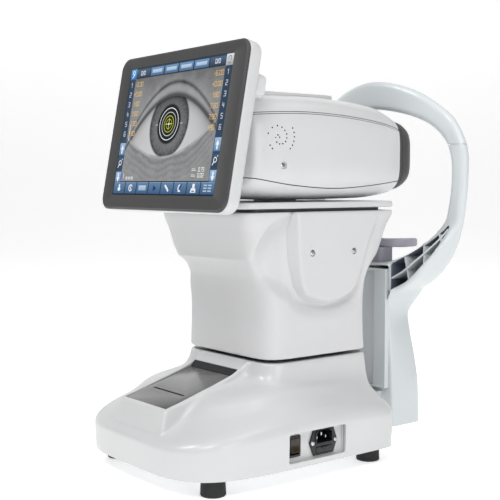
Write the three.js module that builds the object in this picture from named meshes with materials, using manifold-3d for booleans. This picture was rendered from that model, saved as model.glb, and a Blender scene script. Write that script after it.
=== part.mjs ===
// Autorefractor on a table-top base: a touch-screen measuring head on a motorised X, Y and Z stage,
// with a headrest hoop, a chin rest and a receipt printer.
// Millimetres. +X is the operator's right, +Y points to the patient, +Z is up.
// The origin is on the table, under the middle of the whole instrument.
import * as THREE from 'three';
import { mergeVertices } from 'three/addons/utils/BufferGeometryUtils.js';
import Module from 'manifold-3d';

const wasm = await Module();
wasm.setup();

// ---------- driving dimensions ----------
const GAP = 0.3; // clearance between pieces that rest on each other
const WALL = 3; // moulded shell thickness

const FOOT = { radius: 14.5, height: 20.5, x: 100, frontY: -172, rearX: 103, rearY: 64 };
const PLATE_TOP = 24; // upper face of the steel base plate

// Base cover sections, from the skirt's lower edge to the turret's top:
// half-width, front, rear, centre in Y, height at the front, at the sides and at the rear, squareness front and rear.
const BASE_RINGS = [
  [134, -219, 83, -40, 20.5, 20.5, 20.5, 4.2, 18],
  [135, -220, 84, -40, 50, 62, 57, 4.2, 18],
  [134, -219, 84, -40, 56, 70, 63, 4.2, 18],
  [130, -215, 83.5, -40, 62, 77, 68, 4.2, 16],
  [122, -206, 83, -38, 68, 83, 73, 4.2, 14],
  [109, -178, 82.5, -30, 79, 91, 84, 4.2, 12],
  [99, -130, 82, -20, 97, 99, 91, 4.4, 12],
  [93.5, -98, 81, -8, 105, 105.5, 98, 5.5, 12],
  [91, -86, 79.5, -3, 116, 115, 112, 6.5, 12],
  [89.5, -82, 78, -1.5, 132, 132, 132, 6.5, 12],
];

const TRAVEL = { x: 40, yFront: -36, yRear: 0, lift: 30, chinDown: -15, chinUp: 40 };

// Column sections: height, half-width, front, rear, squareness front and rear.
const COLUMN_RINGS = [
  [136, 89.5, -83, 79, 7, 12],
  [155, 89, -82.5, 78, 7, 12],
  [190, 88.5, -82, 77.5, 7, 12],
  [212, 88.5, -84, 79, 7, 12],
  [228, 88.5, -87.5, 83, 7, 12],
  [242, 88.5, -94, 92, 7.5, 12],
  [256, 88.5, -103, 104, 9, 12],
  [274, 88.5, -109, 112, 11, 13],
  [292, 88.5, -114, 119.5, 13, 14],
  [303, 88.5, -117, 125.5, 14, 14],
  [309, 89, -118, 129, 14, 14],
];

// Head sections along Y: station, half-width, underside, top.
const HEAD_SECTIONS = [
  [-114, 84, 338, 432],
  [-108, 92, 330, 441],
  [-95, 96, 325, 446],
  [-50, 99, 322.8, 448],
  [0, 100, 322.5, 449],
  [50, 99, 322.8, 447],
  [95, 96, 323.5, 443],
  [120, 91, 325.5, 436],
  [133, 87.5, 327.5, 431],
];
const OPTICAL_AXIS_Z = 380;

const MONITOR = {
  centre: [0, -149.5, 403], tilt: 10.8, width: 261, height: 191.5, depth: 24, corner: 16,
  screenWidth: 211.4, screenHeight: 157.7, screenRise: 1.6, hinge: [0, -131, 412],
};

const HOOP = { rear: 200, sideFront: 186, foreheadFront: 165, footFront: 147 };

// ---------- solids ----------
function toSolid(geometry) {
  const bare = geometry.clone();
  bare.deleteAttribute('normal');
  bare.deleteAttribute('uv');
  const merged = mergeVertices(bare, 1e-4);
  return new wasm.Manifold(new wasm.Mesh({
    numProp: 3,
    vertProperties: new Float32Array(merged.attributes.position.array),
    triVerts: new Uint32Array(merged.index.array),
  }));
}

function toGeometry(solid) {
  const mesh = solid.getMesh();
  const geometry = new THREE.BufferGeometry();
  geometry.setAttribute('position', new THREE.BufferAttribute(mesh.vertProperties, 3));
  geometry.setIndex(new THREE.BufferAttribute(mesh.triVerts, 1));
  geometry.computeVertexNormals();
  return geometry;
}

function join(...geometries) {
  return geometries.map(toSolid).reduce((sum, solid) => sum.add(solid));
}

function box(x0, x1, y0, y1, z0, z1) {
  const geometry = new THREE.BoxGeometry(x1 - x0, y1 - y0, z1 - z0);
  return geometry.translate((x0 + x1) / 2, (y0 + y1) / 2, (z0 + z1) / 2);
}

// A cylinder along one axis, from start to end; the other two coordinates follow in X, Y, Z order.
function rod(axis, radius, start, end, first, second, sides = 16) {
  const geometry = new THREE.CylinderGeometry(radius, radius, end - start, sides);
  const middle = (start + end) / 2;
  if (axis === 'x') return geometry.rotateZ(-Math.PI / 2).translate(middle, first, second);
  if (axis === 'y') return geometry.translate(first, middle, second);
  return geometry.rotateX(Math.PI / 2).translate(first, second, middle);
}

function shapeOf(outline) {
  if (outline instanceof THREE.Shape) return outline;
  return new THREE.Shape(outline.map(([u, v]) => new THREE.Vector2(u, v)));
}

function extrude(outline, depth) {
  return new THREE.ExtrudeGeometry(shapeOf(outline), { depth, bevelEnabled: false, curveSegments: 5 });
}

// Prisms of an outline given in the plane across the named axis.
function prismX(outline, x0, x1) { // outline in (y, z)
  return extrude(outline, x1 - x0).rotateY(Math.PI / 2).rotateX(Math.PI / 2).translate(x0, 0, 0);
}

function prismY(outline, y0, y1) { // outline in (x, z)
  return extrude(outline, y1 - y0).rotateX(Math.PI / 2).translate(0, y1, 0);
}

function prismZ(outline, z0, z1) { // outline in (x, y)
  return extrude(outline, z1 - z0).translate(0, 0, z0);
}

function roundedRectangle(width, height, radius, x = 0, y = 0) {
  const [w, h] = [width / 2 - radius, height / 2 - radius];
  const shape = new THREE.Shape();
  shape.absarc(x + w, y + h, radius, 0, Math.PI / 2);
  shape.absarc(x - w, y + h, radius, Math.PI / 2, Math.PI);
  shape.absarc(x - w, y - h, radius, Math.PI, 1.5 * Math.PI);
  shape.absarc(x + w, y - h, radius, 1.5 * Math.PI, 2 * Math.PI);
  return shape;
}

// Closed skin through rings of equal length, with a fan over each end.
function loft(rings) {
  const count = rings[0].length;
  const points = rings.flat();
  const faces = [];
  for (let r = 0; r < rings.length - 1; r++) {
    for (let i = 0; i < count; i++) {
      const [a, b] = [r * count + i, r * count + (i + 1) % count];
      faces.push(a, b, b + count, a, b + count, a + count);
    }
  }
  for (const [first, forward] of [[0, false], [(rings.length - 1) * count, true]]) {
    const hub = points.length;
    const centre = new THREE.Vector3();
    for (let i = 0; i < count; i++) centre.addScaledVector(points[first + i], 1 / count);
    points.push(centre);
    for (let i = 0; i < count; i++) {
      const [a, b] = [first + i, first + (i + 1) % count];
      faces.push(hub, ...(forward ? [a, b] : [b, a]));
    }
  }
  return skin(points, faces);
}

// Closed loop of equal sections, joined end to end.
function ringLoft(sections) {
  const count = sections[0].length;
  const total = sections.length * count;
  const faces = [];
  for (let s = 0; s < sections.length; s++) {
    for (let i = 0; i < count; i++) {
      const [a, b] = [s * count + i, s * count + (i + 1) % count];
      faces.push(a, b, (b + count) % total, a, (b + count) % total, (a + count) % total);
    }
  }
  return skin(sections.flat(), faces);
}

// A geometry from points and triangles, turned so that its faces point out.
function skin(points, faces) {
  let volume = 0;
  for (let i = 0; i < faces.length; i += 3) {
    const [a, b, c] = [points[faces[i]], points[faces[i + 1]], points[faces[i + 2]]];
    volume += a.dot(new THREE.Vector3().crossVectors(b, c));
  }
  const geometry = new THREE.BufferGeometry().setFromPoints(points);
  geometry.setIndex(volume > 0 ? faces : faces.reverse());
  geometry.computeVertexNormals();
  return geometry;
}

const power = (value, exponent) => Math.sign(value) * Math.abs(value) ** exponent;
const clamp01 = (value) => Math.min(1, Math.max(0, value));
const smooth = (value) => clamp01(value) ** 2 * (3 - 2 * clamp01(value));
const mix = (a, b, t) => a + (b - a) * t;

// A value read from rows of [position, value, ...] by straight lines between them.
function along(rows, position, column = 1) {
  const last = rows.length - 1;
  if (position <= rows[0][0]) return rows[0][column];
  if (position >= rows[last][0]) return rows[last][column];
  const next = rows.findIndex((row) => row[0] > position);
  const [low, high] = [rows[next - 1], rows[next]];
  return mix(low[column], high[column], (position - low[0]) / (high[0] - low[0]));
}

// ---------- scene ----------
const instrument = new THREE.Group();
instrument.name = 'autorefractor';

const FINISH = {
  white: { color: 0xe9ebee, roughness: 0.32, metalness: 0 },
  columnWhite: { color: 0xdfe1e4, roughness: 0.45, metalness: 0 },
  headrest: { color: 0xcdd5d7, roughness: 0.4, metalness: 0 },
  charcoal: { color: 0x4a4b4c, roughness: 0.5, metalness: 0 },
  lid: { color: 0xacacac, roughness: 0.5, metalness: 0 },
  black: { color: 0x151517, roughness: 0.5, metalness: 0 },
  rubber: { color: 0x1b1b1c, roughness: 0.85, metalness: 0 },
  chin: { color: 0xb4b2bc, roughness: 0.55, metalness: 0 },
  pad: { color: 0xe2e4e6, roughness: 0.7, metalness: 0 },
  screen: { color: 0x10141c, roughness: 0.08, metalness: 0 },
  glass: { color: 0x20304a, roughness: 0.05, metalness: 0 },
  steel: { color: 0xb8babd, roughness: 0.35, metalness: 0.9 },
  aluminium: { color: 0xc5c8cb, roughness: 0.45, metalness: 0.8 },
  board: { color: 0x1d5a37, roughness: 0.6, metalness: 0 },
  paper: { color: 0xf4f4f0, roughness: 0.9, metalness: 0 },
};

function add(name, finish, piece, parent = instrument) {
  const geometry = piece instanceof THREE.BufferGeometry ? piece : toGeometry(piece);
  const mesh = new THREE.Mesh(geometry, new THREE.MeshStandardMaterial(FINISH[finish]));
  mesh.name = name;
  parent.add(mesh);
  return mesh;
}

// ---------- base ----------
const BASE_POINTS = 48;
const SWELL = 1e-3; // keeps coincident faces of a cut apart

function baseRing([half, front, rear, middle, zFront, zSide, zRear, squareFront, squareRear], inset, drop) {
  const ring = [];
  for (let i = 0; i < BASE_POINTS; i++) {
    const angle = (2 * Math.PI * i) / BASE_POINTS;
    const isFront = Math.sin(angle) < 0;
    const exponent = 2 / (isFront ? squareFront : squareRear);
    const reach = (isFront ? middle - front : rear - middle) - inset;
    const x = (half - inset) * power(Math.cos(angle), exponent);
    const away = power(Math.sin(angle), exponent);
    const height = mix(zSide, isFront ? zFront : zRear, away ** 2);
    ring.push(new THREE.Vector3(x, middle + reach * away, height - drop));
  }
  return ring;
}

const NOSE = { half: 47.5, top: 122.5, slope: [[-203.5, 87], [-93, 119.5]] };
const LID = { half: 43.6, front: [-196.3, 88.7], rear: [-102.8, 115.3], thickness: 3 };
const LID_SLOPE = (LID.rear[1] - LID.front[1]) / (LID.rear[0] - LID.front[0]);
const lidTop = (y) => LID.front[1] + (y - LID.front[0]) * LID_SLOPE;
const LID_HINGE = { y: -106, z: lidTop(-106) - 6, radius: 1.8, end: 46.2 };
const CONNECTOR = { y0: -91, y1: -4, z0: 27, z1: 61, face: 126.5 };
const STAGE_POST = { half: 14, front: -12, rear: 16 };

// The raised nose round the printer, as a side profile.
function noseProfile(inset) {
  return [
    [-211.5 + inset, 40], [-211 + inset, 56.4], [-203.5 + inset, 87 - inset], [-94, 122.6 - inset],
    [-77 + inset, 131 - inset], [-60, 131 - inset], [-60, 40],
  ];
}

function baseCover() {
  const outer = join(loft(BASE_RINGS.map((ring) => baseRing(ring, 0, 0))),
    prismX(noseProfile(0), -NOSE.half, NOSE.half));
  const cavityRings = BASE_RINGS.map((ring) => baseRing(ring, WALL, WALL));
  const cavityFloor = cavityRings[0].map((point) => new THREE.Vector3(point.x, point.y, 10));
  const inner = join(loft([cavityFloor, ...cavityRings.slice(1)]),
    prismX(noseProfile(WALL), -NOSE.half + WALL, NOSE.half - WALL));
  const lidPocket = prismX([
    [LID.front[0] - 0.6, lidTop(LID.front[0]) - 4.5], [LID.front[0] - 0.6, 96],
    [-120, 140], [-94, 140], [-94, lidTop(-94) - 4.5],
  ], -LID.half - 0.6, LID.half + 0.6);
  const stageOpening = box(-TRAVEL.x - STAGE_POST.half - 2, TRAVEL.x + STAGE_POST.half + 2,
    STAGE_POST.front + TRAVEL.yFront - 2, STAGE_POST.rear + TRAVEL.yRear + 2, 120, 140);
  const panelOpening = box(118, 140, CONNECTOR.y0, CONNECTOR.y1, CONNECTOR.z0, CONNECTOR.z1);
  const lidBores = rod('x', LID_HINGE.radius + GAP, -LID_HINGE.end - GAP, LID_HINGE.end + GAP,
    LID_HINGE.y, LID_HINGE.z, 12);
  const tailOpening = box(-46 - GAP, 46 + GAP, 70, 90, 10, 66 + GAP);
  return [inner, ...[lidPocket, lidBores, stageOpening, panelOpening, tailOpening].map(toSolid)]
    .reduce((body, cut) => body.subtract(cut), outer);
}



add('base_cover', 'white', baseCover());

const plateRing = baseRing(BASE_RINGS[0], WALL + GAP, 0);
const ringAt = (ring, z) => ring.map((point) => new THREE.Vector3(point.x, point.y, z));
const basePlate = join(loft([ringAt(plateRing, FOOT.height + GAP), ringAt(plateRing, PLATE_TOP)]))
  .subtract(toSolid(box(-46 - GAP, 46 + GAP, 66, 90, 10, 30)));
add('base_plate', 'steel', basePlate);

for (const [name, x, y] of [
  ['foot_front_left', -FOOT.x, FOOT.frontY], ['foot_front_right', FOOT.x, FOOT.frontY],
  ['foot_rear_left', -FOOT.rearX, FOOT.rearY], ['foot_rear_right', FOOT.rearX, FOOT.rearY],
]) {
  const profile = [[0, 0], [FOOT.radius - 1.5, 0], [FOOT.radius, 1.5], [FOOT.radius - 1, FOOT.height], [0, FOOT.height]];
  const foot = new THREE.LatheGeometry(profile.map(([r, z]) => new THREE.Vector2(r, z)), 24);
  add(name, 'rubber', foot.rotateX(Math.PI / 2)).position.set(x, y, 0);
}

// ---------- mains inlet and switch, in a recess on the right ----------
const INLET = { y: -34, z: 44, halfWidth: 22, halfHeight: 16, face: 129 };
const SWITCH = { y: -78.5, z: 44.5, halfWidth: 9.5, halfHeight: 12.5, face: 128.6, pivotX: 120 };

const panelBody = toSolid(box(124, 130.2, CONNECTOR.y0 - 2.2, CONNECTOR.y1 + 2.2, PLATE_TOP + GAP, CONNECTOR.z1 + 2.2))
  .subtract(toSolid(box(CONNECTOR.face, 140, CONNECTOR.y0, CONNECTOR.y1, CONNECTOR.z0, CONNECTOR.z1)))
  .subtract(toSolid(box(110, 140, INLET.y - 14.5, INLET.y + 14.5, 29, 59.5)))
  .subtract(toSolid(box(110, 140, SWITCH.y - 8.2, SWITCH.y + 8.2, SWITCH.z - 11, SWITCH.z + 11)));
add('connector_panel', 'white', panelBody);

const inletFlange = [[-22, 0], [-15, -15.5], [15, -15.5], [22, 0], [15, 15.5], [-15, 15.5]]
  .map(([u, v]) => [INLET.y + u, INLET.z + v]);
const inletSocket = [[-12, -2], [12, -2], [12, 9], [8, 13], [-8, 13], [-12, 9]]
  .map(([u, v]) => [INLET.y + u, INLET.z + v + 1]);
const FUSE = { halfWidth: 12, z0: 31, z1: 38.5, depth: 26, travel: 18 };
const inletBody = join(prismX(inletFlange, CONNECTOR.face + GAP, INLET.face),
  box(97, CONNECTOR.face + GAP + 0.5, INLET.y - 14, INLET.y + 14, 29.5, 59))
  .subtract(toSolid(prismX(inletSocket, INLET.face - 16, 140)))
  .subtract(toSolid(box(INLET.face - FUSE.depth - GAP, 140, INLET.y - FUSE.halfWidth - GAP,
    INLET.y + FUSE.halfWidth + GAP, FUSE.z0 - GAP, FUSE.z1 + GAP)));
const inletPin = (y, z) => toSolid(box(INLET.face - 16.5, INLET.face - 4, y - 1, y + 1, z - 2, z + 2));
add('power_inlet', 'black', [inletPin(INLET.y - 7, 48), inletPin(INLET.y + 7, 48), inletPin(INLET.y, 52)]
  .reduce((body, pin) => body.add(pin), inletBody));
add('fuse_drawer', 'black', join(
  box(INLET.face - FUSE.depth, INLET.face + 0.8, INLET.y - FUSE.halfWidth, INLET.y + FUSE.halfWidth, FUSE.z0, FUSE.z1),
  box(INLET.face + 0.3, INLET.face + 2, INLET.y - 4, INLET.y + 4, FUSE.z1 - 3, FUSE.z1)));
const inletScrew = (y) => rod('x', 2.8, INLET.face + GAP, INLET.face + 1.8, y, INLET.z, 12);
add('inlet_screw_front', 'steel', inletScrew(INLET.y - 17.6));
add('inlet_screw_rear', 'steel', inletScrew(INLET.y + 17.6));

const rockerFrame = join(
  box(CONNECTOR.face + GAP, SWITCH.face, SWITCH.y - 9.5, SWITCH.y + 9.5, SWITCH.z - 12.5, SWITCH.z + 12.5),
  box(106, CONNECTOR.face + GAP + 0.5, SWITCH.y - 7.9, SWITCH.y + 7.9, SWITCH.z - 10.7, SWITCH.z + 10.7))
  .subtract(toSolid(box(109, 140, SWITCH.y - 7, SWITCH.y + 7, SWITCH.z - 9.7, SWITCH.z + 9.7)));
add('rocker_frame', 'black', rockerFrame);
const ROCKER_REST = 8; // degrees, resting on its off stop
const rockerProfile = [[-5, -4], [6, -7.8], [11, -8], [9.4, 0], [11, 8], [6, 7.8], [-5, 4]];
const rocker = prismY(rockerProfile, -6.6, 6.6);
const rockerMesh = add('power_rocker', 'black', rocker);
rockerMesh.position.set(SWITCH.pivotX, SWITCH.y, SWITCH.z);
rockerMesh.rotation.y = THREE.MathUtils.degToRad(-ROCKER_REST);

// ---------- receipt printer ----------
const ROLL = { y: -133, z: 66, radius: 19, half: 28.5 };
const PLATEN = { y: -161, z: lidTop(-161) - 10, radius: 5, half: 29 };

const printerFrame = toSolid(box(-41, 41, -188, -108, PLATE_TOP + GAP, 78))
  .subtract(toSolid(rod('x', ROLL.radius + 2.5, -30.5, 30.5, ROLL.y, ROLL.z, 24)))
  .subtract(toSolid(box(-30.5, 30.5, ROLL.y - 21.5, ROLL.y + 21.5, ROLL.z, 100)))
  .subtract(toSolid(box(-33, 33, -175, -150, 68, 100)))
  .subtract(toSolid(box(-35, 35, -182, -112, 10, 38)));
const printHead = box(-31, 31, -168, -154, 67, PLATEN.z - PLATEN.radius - 0.4);
add('printer_frame', 'charcoal', printerFrame.add(toSolid(printHead)));
const rollTube = toSolid(rod('x', ROLL.radius, -ROLL.half, ROLL.half, ROLL.y, ROLL.z, 28))
  .subtract(toSolid(rod('x', 6, -40, 40, ROLL.y, ROLL.z, 12)));
add('paper_roll', 'paper', rollTube);

const lidOutline = [
  [LID.front[0], lidTop(LID.front[0])], [LID.rear[0], lidTop(LID.rear[0])],
  [LID.rear[0], lidTop(LID.rear[0]) - LID.thickness], [LID.front[0], lidTop(LID.front[0]) - LID.thickness],
];
const SLOT = { y: -163.6, half: 31.8, width: 3 };
const lidEar = (x0, x1, y, z) => prismX([
  [y - 4, lidTop(y - 4) - 2], [y + 4, lidTop(y + 4) - 2], [y + 3.5, z - 3.5], [y - 3.5, z - 3.5],
], x0, x1);
const printerLid = join(prismX(lidOutline, -LID.half, LID.half),
  lidEar(-39, -36, LID_HINGE.y, LID_HINGE.z), lidEar(36, 39, LID_HINGE.y, LID_HINGE.z),
  lidEar(-34, -31, PLATEN.y, PLATEN.z), lidEar(31, 34, PLATEN.y, PLATEN.z))
  .subtract(toSolid(box(-SLOT.half, SLOT.half, SLOT.y - SLOT.width / 2, SLOT.y + SLOT.width / 2, 80, 120)))
  .subtract(toSolid(rod('x', 1.6, -34.5, 34.5, PLATEN.y, PLATEN.z, 12)))
  .add(toSolid(rod('x', LID_HINGE.radius, 36, LID_HINGE.end, LID_HINGE.y, LID_HINGE.z, 12)))
  .add(toSolid(rod('x', LID_HINGE.radius, -LID_HINGE.end, -36, LID_HINGE.y, LID_HINGE.z, 12)));
add('printer_lid', 'lid', printerLid);
add('platen_roller', 'rubber', join(
  rod('x', PLATEN.radius, -PLATEN.half, PLATEN.half, PLATEN.y, PLATEN.z, 20),
  rod('x', 1.5, -33.8, 33.8, PLATEN.y, PLATEN.z, 12)));

// ---------- electronics and stage inside the base ----------
add('power_supply', 'aluminium', box(14, 86, -92, -20, PLATE_TOP + GAP, 58));
add('main_board', 'board', join(box(-86, 4, -70, 56, 30, 31.8), box(-60, -30, -20, 10, 31.5, 38),
  box(-80, -70, 20, 50, 31.5, 42), box(-20, -6, -60, -30, 31.5, 40), box(-84, -78, -68, -62, PLATE_TOP + GAP, 30.5),
  box(-4, 2, 48, 54, PLATE_TOP + GAP, 30.5)));

const X_RAIL = { y: [-48, 44], z: 84, radius: 5, end: 94 };
const CARRIAGE = { half: 38, front: -60, rear: 56, z0: 76, z1: 92 };
const Y_RAIL = { x: [-28, 28], z: 103, radius: 4, front: -66, rear: 62 };
const SCREW = { radius: 4, lead: 20, bore: 4.2 }; // a faceted bore clears the facets of a turning screw
const RUN = 0.06; // radial running clearance of a shaft in its bore

const stageFrame = join(
  box(-100, -88, -62, 66, PLATE_TOP + GAP, 74), box(88, 100, -57, 66, 64, 74), box(88, 100, 2, 66, PLATE_TOP + GAP, 65),
  ...[-100, 88].flatMap((x) => [...X_RAIL.y, 0].map((y) => box(x, x + 12, y - 9, y + 9, 73, 87))),
  box(-100, 100, 58, 66, PLATE_TOP + GAP, 34))
  .add(join(...X_RAIL.y.map((y) => rod('x', X_RAIL.radius, -X_RAIL.end, X_RAIL.end, y, X_RAIL.z, 20))))
  .subtract(toSolid(rod('x', SCREW.bore, -110, 0, 0, X_RAIL.z, 16)));
add('stage_frame', 'aluminium', stageFrame);
add('x_leadscrew', 'steel', rod('x', SCREW.radius, -98, 78.7, 0, X_RAIL.z, 16));
add('x_motor', 'black', box(79, 87.7, -14, 14, 70, 98));

const UPSTAND_HALF = 33;
const xCarriage = join(
  box(-CARRIAGE.half, CARRIAGE.half, CARRIAGE.front, CARRIAGE.rear, CARRIAGE.z0, CARRIAGE.z1),
  box(-UPSTAND_HALF, UPSTAND_HALF, -70, -62, CARRIAGE.z0 + 4, 110),
  box(-UPSTAND_HALF, UPSTAND_HALF, 56, 63.5, CARRIAGE.z0 + 4, 110),
  box(-CARRIAGE.half, CARRIAGE.half, -70, 66, CARRIAGE.z0 + 4, CARRIAGE.z1))
  .subtract(toSolid(rod('x', X_RAIL.radius + RUN, -50, 50, X_RAIL.y[0], X_RAIL.z, 20)))
  .subtract(toSolid(rod('x', X_RAIL.radius + RUN, -50, 50, X_RAIL.y[1], X_RAIL.z, 20)))
  .subtract(toSolid(rod('x', SCREW.bore, -50, 50, 0, X_RAIL.z, 16)))
  .add(join(...Y_RAIL.x.map((x) => rod('y', Y_RAIL.radius, Y_RAIL.front, Y_RAIL.rear, x, Y_RAIL.z, 16))))
  .subtract(toSolid(rod('y', SCREW.bore, -80, 70, 0, Y_RAIL.z, 16)));
add('x_carriage', 'aluminium', xCarriage);
add('y_leadscrew', 'steel', rod('y', SCREW.radius, -58, 48, 0, Y_RAIL.z, 16));
add('y_motor', 'black', box(-12, 12, -61.7, -58.3, 93, 113));

const yStage = join(box(-36, 36, -20, 26, 95, 112),
  box(-STAGE_POST.half, STAGE_POST.half, STAGE_POST.front, STAGE_POST.rear, 111, 137),
  box(-60, 60, -50, 50, 137, 142))
  .subtract(toSolid(rod('y', Y_RAIL.radius + RUN, -80, 70, Y_RAIL.x[0], Y_RAIL.z, 16)))
  .subtract(toSolid(rod('y', Y_RAIL.radius + RUN, -80, 70, Y_RAIL.x[1], Y_RAIL.z, 16)))
  .subtract(toSolid(rod('y', SCREW.bore, -80, 70, 0, Y_RAIL.z, 16)));
add('y_stage', 'aluminium', yStage);
const shieldSlot = STAGE_POST.half + TRAVEL.x / 2 + 2;
add('dust_shield', 'charcoal', toSolid(box(-75, 75, -69, 64, 132.5, 133.7)).subtract(toSolid(
  box(-shieldSlot, shieldSlot, STAGE_POST.front + TRAVEL.yFront - 2, STAGE_POST.rear + TRAVEL.yRear + 2, 130, 136))));

// ---------- column ----------
const COLUMN_POINTS = 36;

function columnRing([z, half, front, rear, squareFront, squareRear], inset) {
  const ring = [];
  const middle = (front + rear) / 2;
  for (let i = 0; i < COLUMN_POINTS; i++) {
    const angle = (2 * Math.PI * i) / COLUMN_POINTS;
    const square = Math.sin(angle) < 0 ? squareFront : squareRear;
    const x = (half - inset) * power(Math.cos(angle), 2 / square);
    const y = middle + ((rear - front) / 2 - inset) * power(Math.sin(angle), 2 / square);
    ring.push(new THREE.Vector3(x, y, z));
  }
  return ring;
}

const columnLoft = (inset) => loft(COLUMN_RINGS.map((row) => columnRing(row, inset)));
const MAST = { half: 20, front: -20, rear: 16, foot: 205 };

function columnShell() {
  const rings = COLUMN_RINGS.map((row) => columnRing(row, WALL));
  const bottom = ringAt(rings[0], 120);
  const top = ringAt(rings[rings.length - 1], 309 - WALL);
  const hollow = loft([bottom, ...rings.slice(0, -1), top]);
  const mastOpening = box(-MAST.half - 2, MAST.half + 2, MAST.front - 2, MAST.rear + 30, 300, 320);
  return toSolid(columnLoft(0)).subtract(toSolid(hollow)).subtract(toSolid(mastOpening));
}
add('column_shell', 'columnWhite', columnShell());

// Flat side covers, straight at the front and bowed at the rear.
const SIDE_COVER = { face: 92, outline: [
  [-41, 305], [-37, 241], [-34, 223], [-26, 213], [-14, 206], [8, 201], [36, 204], [51, 214],
  [65, 243], [78, 277], [94, 305],
] };
const SIDE_SCREWS = [[-19, 260], [49, 260]];
for (const [side, sign] of [['right', 1], ['left', -1]]) {
  const [x0, x1] = sign > 0 ? [60, SIDE_COVER.face] : [-SIDE_COVER.face, -60];
  const cover = SIDE_SCREWS.reduce((body, [y, z]) => body.subtract(
    toSolid(rod('x', 4, Math.min(sign * 90, sign * 100), Math.max(sign * 90, sign * 100), y, z, 14))),
  toSolid(prismX(SIDE_COVER.outline, x0, x1)).subtract(toSolid(columnLoft(-GAP))));
  add(`side_cover_${side}`, 'columnWhite', cover);
  SIDE_SCREWS.forEach(([y, z], i) => {
    const [near, far] = [sign * 90.3, sign * 91.8].sort((a, b) => a - b);
    add(`side_screw_${side}_${['front', 'rear'][i]}`, 'steel', rod('x', 3.3, near, far, y, z, 12));
  });
}

const topPlate = join(box(-88, 88, -118, 132, 313, 320.5), box(-80, 80, -104, 112, 309 + GAP, 313.5))
  .subtract(toSolid(box(-MAST.half - 1, MAST.half + 1, MAST.front - 1, MAST.rear + 30, 300, 330)));
add('column_top_plate', 'white', topPlate);

const Z_DRIVE = { y: 30, motorTop: 196, screwTop: 296 };
add('z_motor', 'black', box(-21, 21, Z_DRIVE.y - 15, Z_DRIVE.y + 25, 142 + GAP, Z_DRIVE.motorTop - 4));
add('z_leadscrew', 'steel', rod('z', SCREW.radius, Z_DRIVE.motorTop - 3, Z_DRIVE.screwTop, 0, Z_DRIVE.y, 16));
const liftMast = join(box(-MAST.half, MAST.half, MAST.front, MAST.rear, MAST.foot, 334),
  box(-14, 14, MAST.rear - 0.5, Z_DRIVE.y + 11, 232, 246),
  box(-62, 62, -70, 76, 330, 336))
  .subtract(toSolid(rod('z', SCREW.bore, 200, 280, 0, Z_DRIVE.y, 16)));
add('lift_mast', 'aluminium', liftMast);
const guide = toSolid(box(-34, 34, -36, 12, 142 + GAP, 290))
  .subtract(toSolid(box(-MAST.half - RUN, MAST.half + RUN, MAST.front - RUN, 40, 150, 300)));
add('lift_guide', 'aluminium', guide);

// ---------- head ----------
const HEAD_POINTS = 36;

function headRing([y, half, low, high], inset) {
  const ring = [];
  const middle = (low + high) / 2;
  for (let i = 0; i < HEAD_POINTS; i++) {
    const angle = (2 * Math.PI * i) / HEAD_POINTS;
    const x = (half - inset) * power(Math.cos(angle), 0.46);
    const z = middle + ((high - low) / 2 - inset) * power(Math.sin(angle), 0.46);
    ring.push(new THREE.Vector3(x, y, z));
  }
  return ring;
}

const headOuter = toSolid(loft(HEAD_SECTIONS.map((row) => headRing(row, 0))));
const headHollowRings = HEAD_SECTIONS.map((row) => headRing(row, WALL));
const shiftY = (ring, y) => ring.map((point) => new THREE.Vector3(point.x, y, point.z));
const headInner = toSolid(loft([shiftY(headHollowRings[0], -111), ...headHollowRings.slice(1, -1),
  shiftY(headHollowRings[8], 150)]));
const headShell = headOuter.subtract(headInner);
const UPPER_SEAM = [[-130, 419.5], [-105, 421.3], [-38, 424.5], [30, 422.5], [92, 416.5], [145, 408.5]];
const LOWER_SEAM = [[-130, 350], [-112, 349], [-45, 340], [35, 337], [145, 347]];
const HALF_SEAM = 0.4;
const above = (seam, shift) => toSolid(prismX(
  [...seam.map(([y, z]) => [y, z + shift]), [145, 500], [-130, 500]], -110, 110));
const below = (seam, shift) => toSolid(prismX(
  [...seam.map(([y, z]) => [y, z + shift]), [145, 300], [-130, 300]], -110, 110));
const topSkin = headShell.intersect(above(UPPER_SEAM, HALF_SEAM));
const topCap = prismZ(roundedRectangle(120, 140, 22, 0, -18), 446, 451);
add('head_top_cover', 'white', topSkin.add(toSolid(topCap).subtract(headInner)));
const mastHole = toSolid(box(-MAST.half - 1, MAST.half + 1, MAST.front - 1, MAST.rear + 30, 310, 330));
add('head_bottom_cover', 'white', headShell.intersect(below(LOWER_SEAM, -HALF_SEAM)).subtract(mastHole));
const band = headShell.intersect(below(UPPER_SEAM, -HALF_SEAM)).intersect(above(LOWER_SEAM, HALF_SEAM));
// Sound holes wind out from the middle in a spiral: runs of [first angle, last angle, holes] in degrees.
const SPEAKER = { y: -74, z: 396, hole: 0.9, middle: [[-7, -1.5], [-4, 1.5], [-1.5, -1]] };
const SPIRAL = {
  radii: [[-130, 8.7], [60, 9], [170, 17.5], [390, 20]],
  runs: [[-130, 170, 11], [215, 230, 2], [315, 390, 6]],
};
const spiralHoles = SPIRAL.runs.flatMap(([first, last, count]) => Array.from({ length: count }, (_, i) => {
  const degrees = mix(first, last, i / (count - 1));
  const [radius, angle] = [along(SPIRAL.radii, degrees), THREE.MathUtils.degToRad(degrees)];
  return [radius * Math.cos(angle), radius * Math.sin(angle)];
}));
const speakerHoles = [...SPEAKER.middle, ...spiralHoles].map(([y, z]) => toSolid(
  rod('x', SPEAKER.hole, 80, 110, SPEAKER.y + y, SPEAKER.z + z, 5)));
const bracketHole = toSolid(box(-30, 30, -130, -100, 396, 421));
const rightHalf = toSolid(box(0.2, 120, -150, 160, 300, 500));
const leftHalf = toSolid(box(-120, -0.2, -150, 160, 300, 500));
add('head_side_right', 'white', speakerHoles.reduce((body, hole) => body.subtract(hole),
  band.intersect(rightHalf).subtract(bracketHole)));
add('head_side_left', 'white', band.intersect(leftHalf).subtract(bracketHole));
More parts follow.
